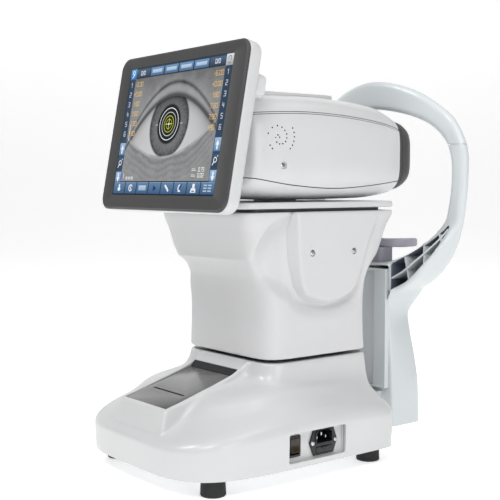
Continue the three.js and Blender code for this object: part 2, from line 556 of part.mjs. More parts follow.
add('speaker', 'black', rod('x', 23, 82, 90.5, SPEAKER.y, SPEAKER.z, 24));

// Charcoal ring round the patient side, open in the middle.
const BEZEL_SECTIONS = [[133 + GAP, 86, 329, 429.5], [140, 85.5, 329.5, 429], [154, 83, 333, 425],
  [164, 77, 338.5, 420]];
const bezelOuter = toSolid(loft(BEZEL_SECTIONS.map((row) => headRing(row, 0))));
const bezelHole = toSolid(prismY(roundedRectangle(124, 60, 16, 0, 380), 120, 170));
add('patient_bezel', 'charcoal', bezelOuter.subtract(bezelHole));
const faceHole = toSolid(rod('y', 22, 140, 170, 0, OPTICAL_AXIS_Z, 28));
add('patient_face', 'black', toSolid(prismY(roundedRectangle(123, 59, 15.5, 0, 380), 150, 154)).subtract(faceHole));
add('objective_window', 'glass', rod('y', 21.7, 150.5, 153, 0, OPTICAL_AXIS_Z, 28));
const tube = toSolid(rod('y', 25, 62, 149.7, 0, OPTICAL_AXIS_Z, 24))
  .subtract(toSolid(rod('y', 23, 70, 160, 0, OPTICAL_AXIS_Z, 24)));
add('optics_unit', 'black', tube.add(toSolid(box(-16, 16, 66, 80, 336 + GAP, OPTICAL_AXIS_Z - 22)))
  .add(join(box(-22, 22, -20, 62.5, 358, 402), box(-14, 14, 0, 40, 336 + GAP, 359))));

// ---------- monitor ----------
const bracketArm = (x0, x1) => prismX([
  [-108, 400], [-108, 419], [-131, 418], [-135, 412], [-131, 406],
], x0, x1);
const HINGE = { radius: 3, y: MONITOR.hinge[1], z: MONITOR.hinge[2] };
const bracket = join(box(-28, 28, -110.7, -105, 398, 419), bracketArm(-28, -22), bracketArm(22, 28))
  .add(toSolid(rod('x', HINGE.radius, -30, 30, HINGE.y, HINGE.z, 16)));
add('monitor_bracket', 'aluminium', bracket);

const monitor = new THREE.Group();
monitor.position.set(...MONITOR.centre);
monitor.rotation.x = THREE.MathUtils.degToRad(-MONITOR.tilt);
instrument.add(monitor);
const halfDepth = MONITOR.depth / 2;
const panelOutline = (shrink) => roundedRectangle(MONITOR.width - 2 * shrink, MONITOR.height - 2 * shrink,
  MONITOR.corner - shrink);
const monitorLoft = (rows) => loft(rows.map(([y, shrink]) => panelOutline(shrink).getPoints(5)
  .map((point) => new THREE.Vector3(point.x, y, point.y))));

const FRONT_PLATE = -halfDepth + 3.6;
const screenHole = prismY(roundedRectangle(MONITOR.screenWidth + 0.8, MONITOR.screenHeight + 0.8, 1.5,
  0, MONITOR.screenRise), -30, 30);
add('monitor_bezel', 'charcoal', toSolid(monitorLoft([[-halfDepth, 2.2], [-halfDepth + 1.6, 0.4], [FRONT_PLATE, 0.4]]))
  .subtract(toSolid(screenHole)), monitor);
add('display_panel', 'screen', prismY(roundedRectangle(MONITOR.screenWidth, MONITOR.screenHeight, 1,
  0, MONITOR.screenRise), -halfDepth + 0.8, FRONT_PLATE), monitor);

const toMonitor = (y, z) => {
  const point = new THREE.Vector3(0, y - MONITOR.centre[1], z - MONITOR.centre[2]);
  return point.applyEuler(new THREE.Euler(-monitor.rotation.x, 0, 0));
};
const pivot = toMonitor(HINGE.y, HINGE.z);
const monitorLug = (x0, x1) => join(rod('x', 7, x0, x1, pivot.y, pivot.z, 18),
  box(x0, x1, halfDepth - 2, pivot.y, pivot.z - 6, pivot.z + 6));
const rearShell = toSolid(monitorLoft([[FRONT_PLATE + GAP, 0], [4, 0], [8.5, 3], [halfDepth, 11]]))
  .subtract(toSolid(monitorLoft([[FRONT_PLATE - 3, 3], [4, 3], [6.5, 5], [halfDepth - 3, 13]])))
  .add(monitorLug(-21.4, -8)).add(monitorLug(8, 21.4))
  .subtract(toSolid(rod('x', HINGE.radius + RUN, -40, 40, pivot.y, pivot.z, 16)));
add('monitor_rear_shell', 'white', rearShell, monitor);
const bossOutline = roundedRectangle(30, 26, 7, 108, 50);
add('monitor_rear_boss', 'columnWhite', prismY(bossOutline, halfDepth + GAP, halfDepth + 14), monitor);

// ---------- headrest ----------
// Right half of the hoop, from its foot round to the crown: outer edge and opening edge, in (x, z).
const HOOP_OUTER = [[0, 186], [38, 183], [67, 200], [92, 214], [115, 235], [132, 262], [141, 290], [146, 322],
  [148.5, 355], [147, 385], [136, 410], [113, 438], [66, 467], [0, 481]];
const HOOP_INNER = [[0, 232], [40, 234], [67, 245], [90, 259], [105, 276], [115, 295], [120, 315], [123, 336],
  [124, 355], [122, 377], [112, 399], [88, 421], [50, 435], [0, 442]];
const HOOP_STEPS = 64;

function mirrored(half) {
  const left = half.slice(1, -1).reverse().map(([x, z]) => [-x, z]);
  const points = [...half, ...left].map(([x, z]) => new THREE.Vector3(x, 0, z));
  return new THREE.CatmullRomCurve3(points, true, 'catmullrom', 0.5);
}
const hoopOuter = mirrored(HOOP_OUTER);
const hoopInner = mirrored(HOOP_INNER);

// How far the hoop reaches towards the operator, and its rear face: it deepens into the pedestal,
// and its crown wraps round the forehead.
function hoopFront(x, z) {
  const crown = smooth((z - 385) / 55) * (1 - clamp01(Math.abs(x) / 124) ** 2);
  const foot = smooth((300 - z) / 70);
  return mix(mix(HOOP.sideFront, HOOP.foreheadFront, crown), HOOP.footFront, foot);
}
function hoopRear(x, z) {
  const crown = smooth((z - 385) / 55) * (1 - clamp01(Math.abs(x) / 124) ** 2);
  return mix(HOOP.rear, HOOP.foreheadFront + 14, crown);
}

function hoopSection(t, outerShift, innerShift, frontShift, rearShift) {
  const [outer, inner] = [hoopOuter.getPoint(t), hoopInner.getPoint(t)];
  const across = inner.clone().sub(outer).normalize();
  const a = outer.clone().addScaledVector(across, outerShift);
  const b = inner.clone().addScaledVector(across, -innerShift);
  return [[a, 1], [b, 1], [b, 0], [a, 0]].map(([point, rear]) => new THREE.Vector3(point.x,
    rear ? hoopRear(point.x, point.z) - rearShift : hoopFront(point.x, point.z) + frontShift, point.z));
}
const hoopRing = ringLoft(Array.from({ length: HOOP_STEPS }, (_, i) => hoopSection(i / HOOP_STEPS, 0, 0, 0, 0)));

// Pedestal sections: height, half-width at the front, half-width at the rear.
const PEDESTAL_RINGS = [[20.8, 68, 68], [72, 64, 66], [110, 62, 59], [140, 60, 51], [165, 58, 46], [182, 57, 50],
  [200, 57, 59], [231, 58, 58]];
const pedestal = loft(PEDESTAL_RINGS.map(([z, front, rear]) => [
  [-front, HOOP.footFront + 3], [-front + 3, HOOP.footFront], [front - 3, HOOP.footFront],
  [front, HOOP.footFront + 3], [rear, HOOP.rear - 6], [rear - 6, HOOP.rear], [6 - rear, HOOP.rear],
  [-rear, HOOP.rear - 6]].map(([x, y]) => new THREE.Vector3(x, y, z))));

const POST = { half: 26, front: 163, rear: 189 };
function channel(side) { // open channel behind the lower hoop on one side, with its ribs left in
  const [start, end] = side > 0 ? [0.105, 0.19] : [0.81, 0.895];
  const sections = Array.from({ length: 7 }, (_, i) => hoopSection(mix(start, end, i / 6), 4, 4, -4, 8));
  const ribs = [[84, 237, 91, 214], [114, 254, 125, 238]].map(([xa, za, xb, zb]) => {
    const reach = Math.hypot(xb - xa, zb - za) + 30;
    const rib = box(-1.2, 1.2, 140, 200, -reach / 2, reach / 2);
    rib.rotateY(side * Math.atan2(xb - xa, zb - za));
    return toSolid(rib.translate(side * (xa + xb) / 2, 0, (za + zb) / 2));
  });
  return ribs.reduce((body, rib) => body.subtract(rib), toSolid(loft(sections)));
}

const pedestalHollow = toSolid(box(-48, 48, 140, 194, 74, 226));
const narrowHollow = toSolid(box(-36, 36, 140, 194, 74, 226));
const lowerHollow = pedestalHollow.subtract(toSolid(box(-60, 60, 168, 210, 120, 205))).add(narrowHollow);
const headrestFrame = toSolid(hoopRing).add(toSolid(pedestal))
  .subtract(lowerHollow)
  .subtract(toSolid(box(-POST.half - GAP, POST.half + GAP, POST.front - GAP, POST.rear + GAP, 200, 260)))
  .subtract(toSolid(box(-57.3, 57.3, 140, HOOP.footFront + 3.3, 71.7, 230.3)))
  .subtract(channel(1)).subtract(channel(-1))
  .subtract(toSolid(box(-46 - GAP, 46 + GAP, 140, 180 + GAP, 10, 66 + GAP)));
add('headrest_frame', 'headrest', headrestFrame);
add('pedestal_cover', 'headrest', prismY([[-57, 72], [57, 72], [54, 150], [54, 230], [-54, 230], [-54, 150]]
  .map(([x, z]) => [x * 0.995, z]), HOOP.footFront, HOOP.footFront + 3));
add('headrest_bracket', 'white', join(box(-46, 46, 66 + GAP, 180, 26, 66), box(-46, 46, 66 + GAP, 180, FOOT.height + GAP, 27)));

// Soft pad on the patient's side of the crown.
function crownPadSection(x) {
  const centre = 461 - 11 * (x / 60) ** 2;
  const rear = hoopRear(x, centre) + GAP;
  const half = 13 * Math.sqrt(Math.max(0.05, 1 - (x / 64) ** 4));
  return [[rear, -half], [rear + 5, -half + 1], [rear + 7, -half / 2], [rear + 7, half / 2],
    [rear + 5, half - 1], [rear, half]].map(([y, z]) => new THREE.Vector3(x, y, centre + z));
}
add('forehead_pad', 'pad', toSolid(loft(Array.from({ length: 15 }, (_, i) => crownPadSection(-63 + 9 * i))))
  .subtract(toSolid(hoopRing)));

// ---------- chin rest ----------
const CHIN = { half: 50, front: 170, rear: 220, under: 257, top: 268 };
const chinPlate = prismZ(roundedRectangle(2 * CHIN.half, CHIN.rear - CHIN.front, 18, 0,
  (CHIN.front + CHIN.rear) / 2), CHIN.under, CHIN.top);
const chinDish = new THREE.SphereGeometry(60, 24, 16).translate(0, 214, CHIN.top + 52);
add('chin_cup', 'chin', toSolid(chinPlate).subtract(toSolid(chinDish)));
add('chin_post', 'chin', join(box(-POST.half, POST.half, POST.front, POST.rear, 178, CHIN.under - GAP)));
add('chin_motor', 'black', box(-20, 20, 162, 192, 84, 130));

export default instrument;
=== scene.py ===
"""Autorefractor: the looks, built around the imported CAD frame.

Lengths are in millimetres until a mesh is made. Smooth shells are fields on a grid, meshed at their
zero level.
"""
import math

import bpy
import numpy as np
from mathutils import Euler, Matrix, Vector


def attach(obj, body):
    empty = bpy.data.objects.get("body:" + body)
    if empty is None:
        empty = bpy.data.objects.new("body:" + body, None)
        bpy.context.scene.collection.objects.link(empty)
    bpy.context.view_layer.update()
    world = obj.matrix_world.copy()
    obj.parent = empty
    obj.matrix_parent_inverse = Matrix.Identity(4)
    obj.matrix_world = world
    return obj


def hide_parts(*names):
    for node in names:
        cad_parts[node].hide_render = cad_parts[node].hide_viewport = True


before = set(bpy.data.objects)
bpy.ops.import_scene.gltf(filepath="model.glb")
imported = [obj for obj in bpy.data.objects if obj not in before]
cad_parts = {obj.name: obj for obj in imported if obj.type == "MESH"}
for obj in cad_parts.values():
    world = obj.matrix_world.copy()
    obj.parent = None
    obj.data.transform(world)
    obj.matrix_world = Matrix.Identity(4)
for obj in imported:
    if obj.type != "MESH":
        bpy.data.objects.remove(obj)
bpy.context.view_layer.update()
MM = 0.001

# ---------------------------------------------------------------- camera, light, floor
CAMERA_PLACE = (969.9, -806.0, 342.0)
CAMERA_AZIMUTH = 51.752  # degrees round from looking along +Y
CAMERA_PITCH = 3.801  # degrees below level
CAMERA_LENS = 71.62


def make_camera():
    data = bpy.data.cameras.new("camera")
    data.lens = CAMERA_LENS
    data.sensor_width = 36
    camera = bpy.data.objects.new("camera", data)
    camera.location = [v * MM for v in CAMERA_PLACE]
    camera.rotation_euler = Euler((math.radians(90 - CAMERA_PITCH), 0, math.radians(CAMERA_AZIMUTH)))
    bpy.context.scene.collection.objects.link(camera)
    bpy.context.scene.camera = camera


def area_light(name, place, target, size, watts):
    data = bpy.data.lights.new(name, "AREA")
    data.shape = "RECTANGLE"
    data.size, data.size_y = size
    data.energy = watts
    data.color = (1, 1, 1)
    light = bpy.data.objects.new(name, data)
    light.location = place
    light.rotation_euler = (Vector(target) - Vector(place)).to_track_quat("-Z", "Y").to_euler()
    bpy.context.scene.collection.objects.link(light)


def make_studio():
    world = bpy.data.worlds.new("studio")
    world.use_nodes = True
    world.node_tree.nodes["Background"].inputs["Color"].default_value = (1.0, 1.0, 1.0, 1)
    world.node_tree.nodes["Background"].inputs["Strength"].default_value = 0.14
    bpy.context.scene.world = world
    area_light("key", (1.3, -1.3, 1.9), (0, 0, 0.2), (0.8, 0.8), 18)
    area_light("rear", (1.5, 0.5, 2.0), (0, 0, 0.2), (1.0, 1.0), 8)
    area_light("top", (0.2, 0.2, 1.9), (0, 0, 0.2), (1.6, 1.6), 6)
    area_light("front", (-0.4, -1.3, 2.0), (0, 0, 0.2), (0.8, 0.8), 19)
    area_light("side", (2.1, -0.2, 0.5), (0, 0, 0.25), (0.9, 0.9), 7)
    bpy.context.scene.view_settings.view_transform = "Standard"
    size, steps, bend = 4.0, 10, 1.2
    profile = [(-size, 0.0), (size - bend, 0.0)]
    for i in range(1, steps + 1):
        angle = math.pi / 2 * i / steps
        profile.append((size - bend + bend * math.sin(angle), bend - bend * math.cos(angle)))
    profile.append((size, 4.0))
    turn = math.radians(CAMERA_AZIMUTH)
    points, faces = [], []
    for along, up in profile:
        for across in (-7.0, 7.0):
            points.append((across * math.cos(turn) - along * math.sin(turn),
                           across * math.sin(turn) + along * math.cos(turn), up))
    for i in range(len(profile) - 1):
        faces.append((2 * i, 2 * i + 1, 2 * i + 3, 2 * i + 2))
    mesh = bpy.data.meshes.new("floor")
    mesh.from_pydata(points, [], faces)
    mesh.shade_smooth()
    floor = bpy.data.objects.new("floor", mesh)
    bpy.context.scene.collection.objects.link(floor)
    paper = surface("pale_floor", (0.9, 0.9, 0.9), 0.9, grain=(40, 0.0), tint=0.004)
    paper.node_tree.nodes["Principled BSDF"].inputs["Emission Color"].default_value = (1, 1, 1, 1)
    paper.node_tree.nodes["Principled BSDF"].inputs["Emission Strength"].default_value = 0.52
    mesh.materials.append(paper)


# ---------------------------------------------------------------- materials
ROUGHNESS_SPREAD = 0.05


def surface(name, colour, roughness, metallic=0.0, grain=(900, 0.02), tint=0.02, tint_scale=14,
            coat=0.0, speckle=0.0):
    """A moulded, painted or metal surface with soft colour variation, fine grain and uneven roughness.

    grain is the grain's scale and bump strength; tint is how far the colour wanders, over patches of
    tint_scale.
    """
    material = bpy.data.materials.new(name)
    material.use_nodes = True
    nodes, links = material.node_tree.nodes, material.node_tree.links
    shader = nodes["Principled BSDF"]
    shader.inputs["Metallic"].default_value = metallic
    shader.inputs["Coat Weight"].default_value = coat
    shader.inputs["Coat Roughness"].default_value = 0.12
    place = nodes.new("ShaderNodeTexCoord").outputs["Object"]

    def noise(scale, detail=3.0):
        node = nodes.new("ShaderNodeTexNoise")
        node.inputs["Scale"].default_value = scale
        node.inputs["Detail"].default_value = detail
        node.inputs["Roughness"].default_value = 0.55
        links.new(place, node.inputs["Vector"])
        return node.outputs["Fac"]

    cloud, fine = noise(tint_scale), noise(grain[0], 2.0)
    ramp = nodes.new("ShaderNodeMapRange")
    ramp.inputs["From Min"].default_value = 0.3
    ramp.inputs["From Max"].default_value = 0.7
    links.new(cloud, ramp.inputs["Value"])
    mixed = nodes.new("ShaderNodeMix")
    mixed.data_type = "RGBA"
    mixed.inputs["A"].default_value = (*[max(0.0, c * (1 - tint)) for c in colour], 1)
    mixed.inputs["B"].default_value = (*[min(1.0, c * (1 + tint)) for c in colour], 1)
    links.new(ramp.outputs["Result"], mixed.inputs["Factor"])
    result = mixed.outputs["Result"]
    if speckle:
        spots = nodes.new("ShaderNodeMix")
        spots.data_type = "RGBA"
        spots.blend_type = "MULTIPLY"
        spots.inputs["Factor"].default_value = speckle
        links.new(result, spots.inputs["A"])
        shade = nodes.new("ShaderNodeMapRange")
        shade.inputs["From Min"].default_value = 0.35
        shade.inputs["From Max"].default_value = 0.65
        shade.inputs["To Min"].default_value = 0.8
        links.new(fine, shade.inputs["Value"])
        links.new(shade.outputs["Result"], spots.inputs["B"])
        result = spots.outputs["Result"]
    links.new(result, shader.inputs["Base Color"])
    uneven = nodes.new("ShaderNodeMapRange")
    uneven.inputs["To Min"].default_value = max(0.0, roughness - ROUGHNESS_SPREAD)
    uneven.inputs["To Max"].default_value = min(1.0, roughness + ROUGHNESS_SPREAD)
    links.new(cloud, uneven.inputs["Value"])
    links.new(uneven.outputs["Result"], shader.inputs["Roughness"])
    if grain[1]:
        bump = nodes.new("ShaderNodeBump")
        bump.inputs["Strength"].default_value = grain[1]
        bump.inputs["Distance"].default_value = 0.0004
        links.new(fine, bump.inputs["Height"])
        links.new(bump.outputs["Normal"], shader.inputs["Normal"])
    return material


make_camera()
make_studio()

WHITE = surface("gloss_white", (0.64, 0.645, 0.65), 0.34, coat=0.25, grain=(1400, 0.03), tint=0.01)
SHELL = surface("grained_white", (0.66, 0.662, 0.67), 0.42, grain=(1100, 0.10), tint=0.015, speckle=0.18)
HEAD = surface("head_white", (0.65, 0.652, 0.66), 0.34, coat=0.25, grain=(1300, 0.04), tint=0.01,
               speckle=0.05)
REST = surface("headrest_grey", (0.64, 0.68, 0.695), 0.3, coat=0.3, grain=(1200, 0.03), tint=0.025,
               tint_scale=9)
# The pedestal's front cover is a separate insert. Its grey is partly painted light: it is raised above the
# headrest grey to offset the column's shade on its front.
COVER_WITH_PAINTED_LIGHT = surface("pedestal_cover_grey_and_painted_light", (0.80, 0.83, 0.85), 0.35, coat=0.3, grain=(1200, 0.03), tint=0.02,
                tint_scale=9)
CHARCOAL = surface("charcoal", (0.058, 0.058, 0.06), 0.5, grain=(1600, 0.10), tint=0.05)
BEZEL = surface("monitor_bezel_grey", (0.056, 0.056, 0.056), 0.42, grain=(1800, 0.05), tint=0.03)
LID = surface("lid_grey", (0.10, 0.10, 0.10), 0.22, coat=0.4, grain=(1500, 0.02), tint=0.02)
BLACK = surface("black_plastic", (0.012, 0.012, 0.014), 0.35, grain=(1500, 0.05), tint=0.1)
RUBBER = surface("rubber", (0.018, 0.018, 0.019), 0.75, grain=(1200, 0.25), tint=0.15)
CHIN = surface("chin_grey", (0.44, 0.425, 0.49), 0.5, grain=(1300, 0.06), tint=0.03)
PAD = surface("pad_silicone", (0.66, 0.68, 0.70), 0.6, grain=(700, 0.15), tint=0.03)
STEEL = surface("steel", (0.62, 0.63, 0.64), 0.28, metallic=1.0, grain=(2200, 0.05), tint=0.06, tint_scale=60)
ALUMINIUM = surface("aluminium", (0.68, 0.69, 0.71), 0.4, metallic=1.0, grain=(900, 0.12), tint=0.05,
                    tint_scale=40)
BOARD = surface("circuit_board", (0.02, 0.12, 0.055), 0.4, grain=(300, 0.2), tint=0.25, tint_scale=180)
PAPER = surface("paper", (0.86, 0.86, 0.83), 0.85, grain=(500, 0.3), tint=0.02)
# Painted shade: a dark blue-grey laid on the headrest channel's inner faces in place of the shade inside the
# cavity.
SHADE = surface("painted_cavity_shade", (0.13, 0.15, 0.19), 0.5, grain=(900, 0.08), tint=0.1)
WINDOW = surface("coated_glass", (0.02, 0.03, 0.07), 0.04, coat=1.0, grain=(100, 0.0), tint=0.2,
                 tint_scale=30)


# ---------------------------------------------------------------- mesh tools
def new_object(name, points, faces, material, sharp=35):
    """An object in metres from points in millimetres, with edges sharper than an angle kept crisp."""
    mesh = bpy.data.meshes.new(name)
    mesh.from_pydata((np.asarray(points, float) * MM).tolist(), [], [list(map(int, f)) for f in faces])
    mesh.validate()
    piece = bpy.data.objects.new(name, mesh)
    bpy.context.scene.collection.objects.link(piece)
    mesh.materials.append(material)
    shade(piece, sharp)
    return piece


def shade(piece, sharp=35):
    piece.data.shade_smooth()
    piece.data.set_sharp_from_angle(angle=math.radians(sharp))


def bake_modifiers(piece, sharp=35):
    """Applies the piece's modifiers to its mesh."""
    graph = bpy.context.evaluated_depsgraph_get()
    mesh = bpy.data.meshes.new_from_object(piece.evaluated_get(graph))
    piece.modifiers.clear()
    old, piece.data = piece.data, mesh
    bpy.data.meshes.remove(old)
    shade(piece, sharp)
    return piece


def cut(piece, cutter, operation="DIFFERENCE", sharp=35):
    """Cuts a piece and deletes the cutter; the exact solver is used where the fast one changes nothing."""
    before = len(piece.data.vertices)
    for solver in ("MANIFOLD", "EXACT"):
        modifier = piece.modifiers.new("cut", "BOOLEAN")
        modifier.operation = operation
        modifier.object = cutter
        modifier.solver = solver
        bake_modifiers(piece, sharp)
        if len(piece.data.vertices) != before:
            break
    bpy.data.objects.remove(cutter)
    return piece


def cut_box(piece, low, high, operation="DIFFERENCE", material=None):
    """The faces that a cut leaves have the cutter's material: the piece's own, unless another is given."""
    return cut(piece, block("gap", low, high, material or piece.data.materials[0]), operation)


def cut_bore(piece, radius, reach, centre, axis, steps):
    """A round hole of one radius that reaches the same way to both sides of its centre."""
    profile = [(radius, -reach), (radius, reach)]
    return cut(piece, turned("gap", profile, centre, axis, piece.data.materials[0], steps))


def copy_of(piece, name):
    twin = piece.copy()
    twin.data = piece.data.copy()
    twin.name = name
    bpy.context.scene.collection.objects.link(twin)
    return twin


def bevel(piece, width, segments=3, angle=30, sharp=40):
    modifier = piece.modifiers.new("bevel", "BEVEL")
    modifier.width = width * MM
    modifier.segments = segments
    modifier.limit_method = "ANGLE"
    modifier.angle_limit = math.radians(angle)
    return bake_modifiers(piece, sharp)


def loft(name, rings, material, sharp=35):
    """A skin through rings of equal length; its ends are filled with one face each."""
    rings = [np.asarray(r, float) for r in rings]
    count, total = len(rings[0]), len(rings) * len(rings[0])
    faces = []
    for r in range(len(rings) - 1):
        for i in range(count):
            a, b = r * count + i, r * count + (i + 1) % count
            faces.append((a, b, b + count, a + count))
    faces.append(tuple(range(count))[::-1])
    faces.append(tuple(range(total - count, total)))
    piece = new_object(name, np.concatenate(rings), faces, material, sharp)
    face_out(piece)
    return piece


def face_out(piece):
    """Turns a closed mesh's faces to point out, by the sign of its volume."""
    mesh = piece.data
    mesh.calc_loop_triangles()
    points = np.array([v.co for v in mesh.vertices])
    tris = np.array([t.vertices for t in mesh.loop_triangles])
    a, b, c = points[tris[:, 0]], points[tris[:, 1]], points[tris[:, 2]]
    if np.einsum("ij,ij->i", a, np.cross(b, c)).sum() < 0:
        mesh.flip_normals()


def block(name, low, high, material, round_by=0.0):
    """A box between two corners, with rounded edges."""
    (x0, y0, z0), (x1, y1, z1) = low, high
    rings = [[(x0, y0, z), (x1, y0, z), (x1, y1, z), (x0, y1, z)] for z in (z0, z1)]
    piece = loft(name, rings, material)
    return bevel(piece, round_by) if round_by else piece


def prism(name, outline, start, end, axis, material, round_by=0.0, segments=3):
    """An outline in the plane across an axis (the other two in X, Y, Z order), run from start to end."""
    outline = np.asarray(outline, float)
    rings = [np.insert(outline, "xyz".index(axis), place, axis=1) for place in (start, end)]
    piece = loft(name, rings, material)
    return bevel(piece, round_by, segments) if round_by else piece


def turned(name, profile, centre, axis, material, steps=64, sharp=35):
    """A lathe piece: profile rows are radius and place along the axis, counted from the centre."""
    index = "xyz".index(axis)
    angles = np.linspace(0, 2 * math.pi, steps, endpoint=False)
    rings = []
    for radius, place in profile:
        ring = np.zeros((steps, 3))
        ring[:, (index + 1) % 3] = radius * np.cos(angles)
        ring[:, (index + 2) % 3] = radius * np.sin(angles)
        ring[:, index] = place
        rings.append(ring + np.asarray(centre, float))
    return loft(name, rings, material, sharp)


def arc(centre_u, centre_v, radius, start, end, steps):
    angles = np.radians(np.linspace(start, end, steps))
    return np.stack([centre_u + radius * np.cos(angles), centre_v + radius * np.sin(angles)], 1)


def rounded_rectangle(width, height, radius, u=0.0, v=0.0, steps=9):
    w, h = width / 2 - radius, height / 2 - radius
    return np.concatenate([arc(u + w, v + h, radius, 0, 90, steps),
                           arc(u - w, v + h, radius, 90, 180, steps),
                           arc(u - w, v - h, radius, 180, 270, steps),
                           arc(u + w, v - h, radius, 270, 360, steps)])


def join(pieces, name):
    """Several objects as one, keeping each one's material."""
    with bpy.context.temp_override(active_object=pieces[0], selected_editable_objects=pieces):
        bpy.ops.object.join()
    pieces[0].name = name
    return pieces[0]


# ---------------------------------------------------------------- smooth solids from fields
def smooth_min(a, b, reach):
    """The union of two solids with a fillet: fields are negative inside."""
    near = np.maximum(reach - np.abs(a - b), 0) / reach
    return np.minimum(a, b) - near * near * reach / 4


def smooth_max(a, b, reach):
    return -smooth_min(-a, -b, reach)


def ease(value):
    value = np.clip(value, 0, 1)
    return value * value * (3 - 2 * value)


def curve_through(places, values, query):
    """Smooth monotone interpolation through rows of values."""
    places, values, query = (np.asarray(v, float) for v in (places, values, query))
    step = np.diff(places)
    slope = np.diff(values) / step
    middle = np.where(slope[1:] * slope[:-1] > 0,
                      2 * slope[1:] * slope[:-1] / (slope[1:] + slope[:-1] + 1e-12), 0)
    tangent = np.concatenate([slope[:1], middle, slope[-1:]])
    query = np.clip(query, places[0], places[-1])
    i = np.clip(np.searchsorted(places, query) - 1, 0, len(step) - 1)
    t = (query - places[i]) / step[i]
    low, high = values[i], values[i + 1]
    return (low * (2 * t ** 3 - 3 * t ** 2 + 1) + high * (3 * t ** 2 - 2 * t ** 3)
            + step[i] * (tangent[i] * (t ** 3 - 2 * t ** 2 + t) + tangent[i + 1] * (t ** 3 - t ** 2)))


def distance_like(field, cell):
    """The field divided by its slope, so that it reads as millimetres near the surface."""
    slopes = np.gradient(field, cell)
    return (field / np.maximum(np.sqrt(sum(s * s for s in slopes)), 1e-4)).astype(np.float32)


def surface_net(field, low, cell):
    """Points and quads round the zero level of a field sampled on a grid."""
    shape = tuple(n - 1 for n in field.shape)
    total = np.zeros(shape + (3,), np.float32)
    count = np.zeros(shape, np.uint8)

    def window(start):
        return tuple(slice(s, s + n) for s, n in zip(start, shape))

    for axis in range(3):
        u, v = [a for a in range(3) if a != axis]
        for corner in range(4):
            start = [0, 0, 0]
            start[u], start[v] = corner & 1, corner >> 1
            end = list(start)
            end[axis] = 1
            f0, f1 = field[window(start)], field[window(end)]
            crossing = (f0 < 0) != (f1 < 0)
            share = np.where(crossing, f0 / np.where(crossing, f0 - f1, 1), 0)
            for a in range(3):
                total[..., a] += crossing * start[a] + (share if a == axis else 0)
            count += crossing
    used = count > 0
    number = np.full(shape, -1, np.int64)
    number[used] = np.arange(used.sum())
    points = (np.argwhere(used) + total[used] / count[used][:, None]) * cell + np.asarray(low)
    inside, quads = field < 0, []
    for axis in range(3):
        u, v = (axis + 1) % 3, (axis + 2) % 3
        here, there = [slice(None)] * 3, [slice(None)] * 3
        here[axis], there[axis] = slice(0, -1), slice(1, None)
        for a in (u, v):
            here[a] = there[a] = slice(1, -1)
        a_side, b_side = inside[tuple(here)], inside[tuple(there)]
        place = np.argwhere(a_side != b_side)
        outward = a_side[tuple(place.T)]
        place[:, u] += 1
        place[:, v] += 1
        eu, ev = np.eye(3, dtype=int)[u], np.eye(3, dtype=int)[v]
        quad = np.stack([number[tuple((place - s).T)] for s in (eu + ev, ev, 0 * eu, eu)], 1)
        quad[~outward] = quad[~outward][:, ::-1]
        quads.append(quad)
    return points, np.concatenate(quads)


def relax(points, quads, rounds):
    """Smooths without shrinking, by turns in and out."""
    edges = np.concatenate([quads[:, [i, (i + 1) % 4]] for i in range(4)])
    degree = np.bincount(edges[:, 0], minlength=len(points)) + np.bincount(edges[:, 1], minlength=len(points))
    for turn in range(2 * rounds):
        weight = 0.5 if turn % 2 == 0 else -0.52
        for axis in range(3):
            column = points[:, axis]
            around = (np.bincount(edges[:, 0], column[edges[:, 1]], len(points))
                      + np.bincount(edges[:, 1], column[edges[:, 0]], len(points))) / degree
            points[:, axis] = column + weight * (around - column)
    return points


CELL = 1.6


def grid_of(low, high, cell=None):
    cell = cell or CELL
    axes = [np.arange(a - 2 * cell, b + 3 * cell, cell) for a, b in zip(low, high)]
    shapes = [(-1, 1, 1), (1, -1, 1), (1, 1, -1)]
    return [a.reshape(s) for a, s in zip(axes, shapes)], [a[0] for a in axes], cell


def read_grid(values, places):
    """Trilinear reading of a grid at places counted in cells."""
    start = np.clip(np.floor(places).astype(int), 0, np.array(values.shape) - 2)
    t = places - start
    result = 0
    for corner in range(8):
        offset = np.array([corner & 1, (corner >> 1) & 1, corner >> 2])
        weight = np.prod(np.where(offset, t, 1 - t), axis=1)
        result = result + weight * values[tuple((start + offset).T)]
    return result


def settle(points, field, low, cell, rounds=3):
    """Moves points onto the zero level of the field."""
    slopes = np.gradient(field)
    for _ in range(rounds):
        places = (points - np.asarray(low)) / cell
        value = read_grid(field, places)
        slope = np.stack([read_grid(s, places) for s in slopes], 1) / cell
        step = (value / np.maximum((slope ** 2).sum(1), 0.05))[:, None] * slope
        points = points - np.clip(step, -0.4 * cell, 0.4 * cell)
    return points


def from_field(name, field, low, cell, material, rounds=2, sharp=60):
    field = np.asarray(field, float)
    points, quads = surface_net(field, low, cell)
    points = settle(relax(points, quads, rounds), field, low, cell)
    return new_object(name, relax(points, quads, 1), quads, material, sharp)


def polygon_distance(u, v, outline):
    """Signed distance to a closed outline, negative inside; u and v are flat arrays of one shape."""
    outline = np.asarray(outline, float)
    best = np.full(u.shape, 1e9)
    inside = np.zeros(u.shape, bool)
    for (u0, v0), (u1, v1) in zip(outline, np.roll(outline, -1, 0)):
        du, dv = u1 - u0, v1 - v0
        share = np.clip(((u - u0) * du + (v - v0) * dv) / (du * du + dv * dv + 1e-12), 0, 1)
        best = np.minimum(best, (u - u0 - share * du) ** 2 + (v - v0 - share * dv) ** 2)
        crossing = (v0 > v) != (v1 > v)
        inside ^= crossing & (u < du * (v - v0) / (dv if abs(dv) > 1e-12 else 1e-12) + u0)
    return np.where(inside, -1, 1) * np.sqrt(best)


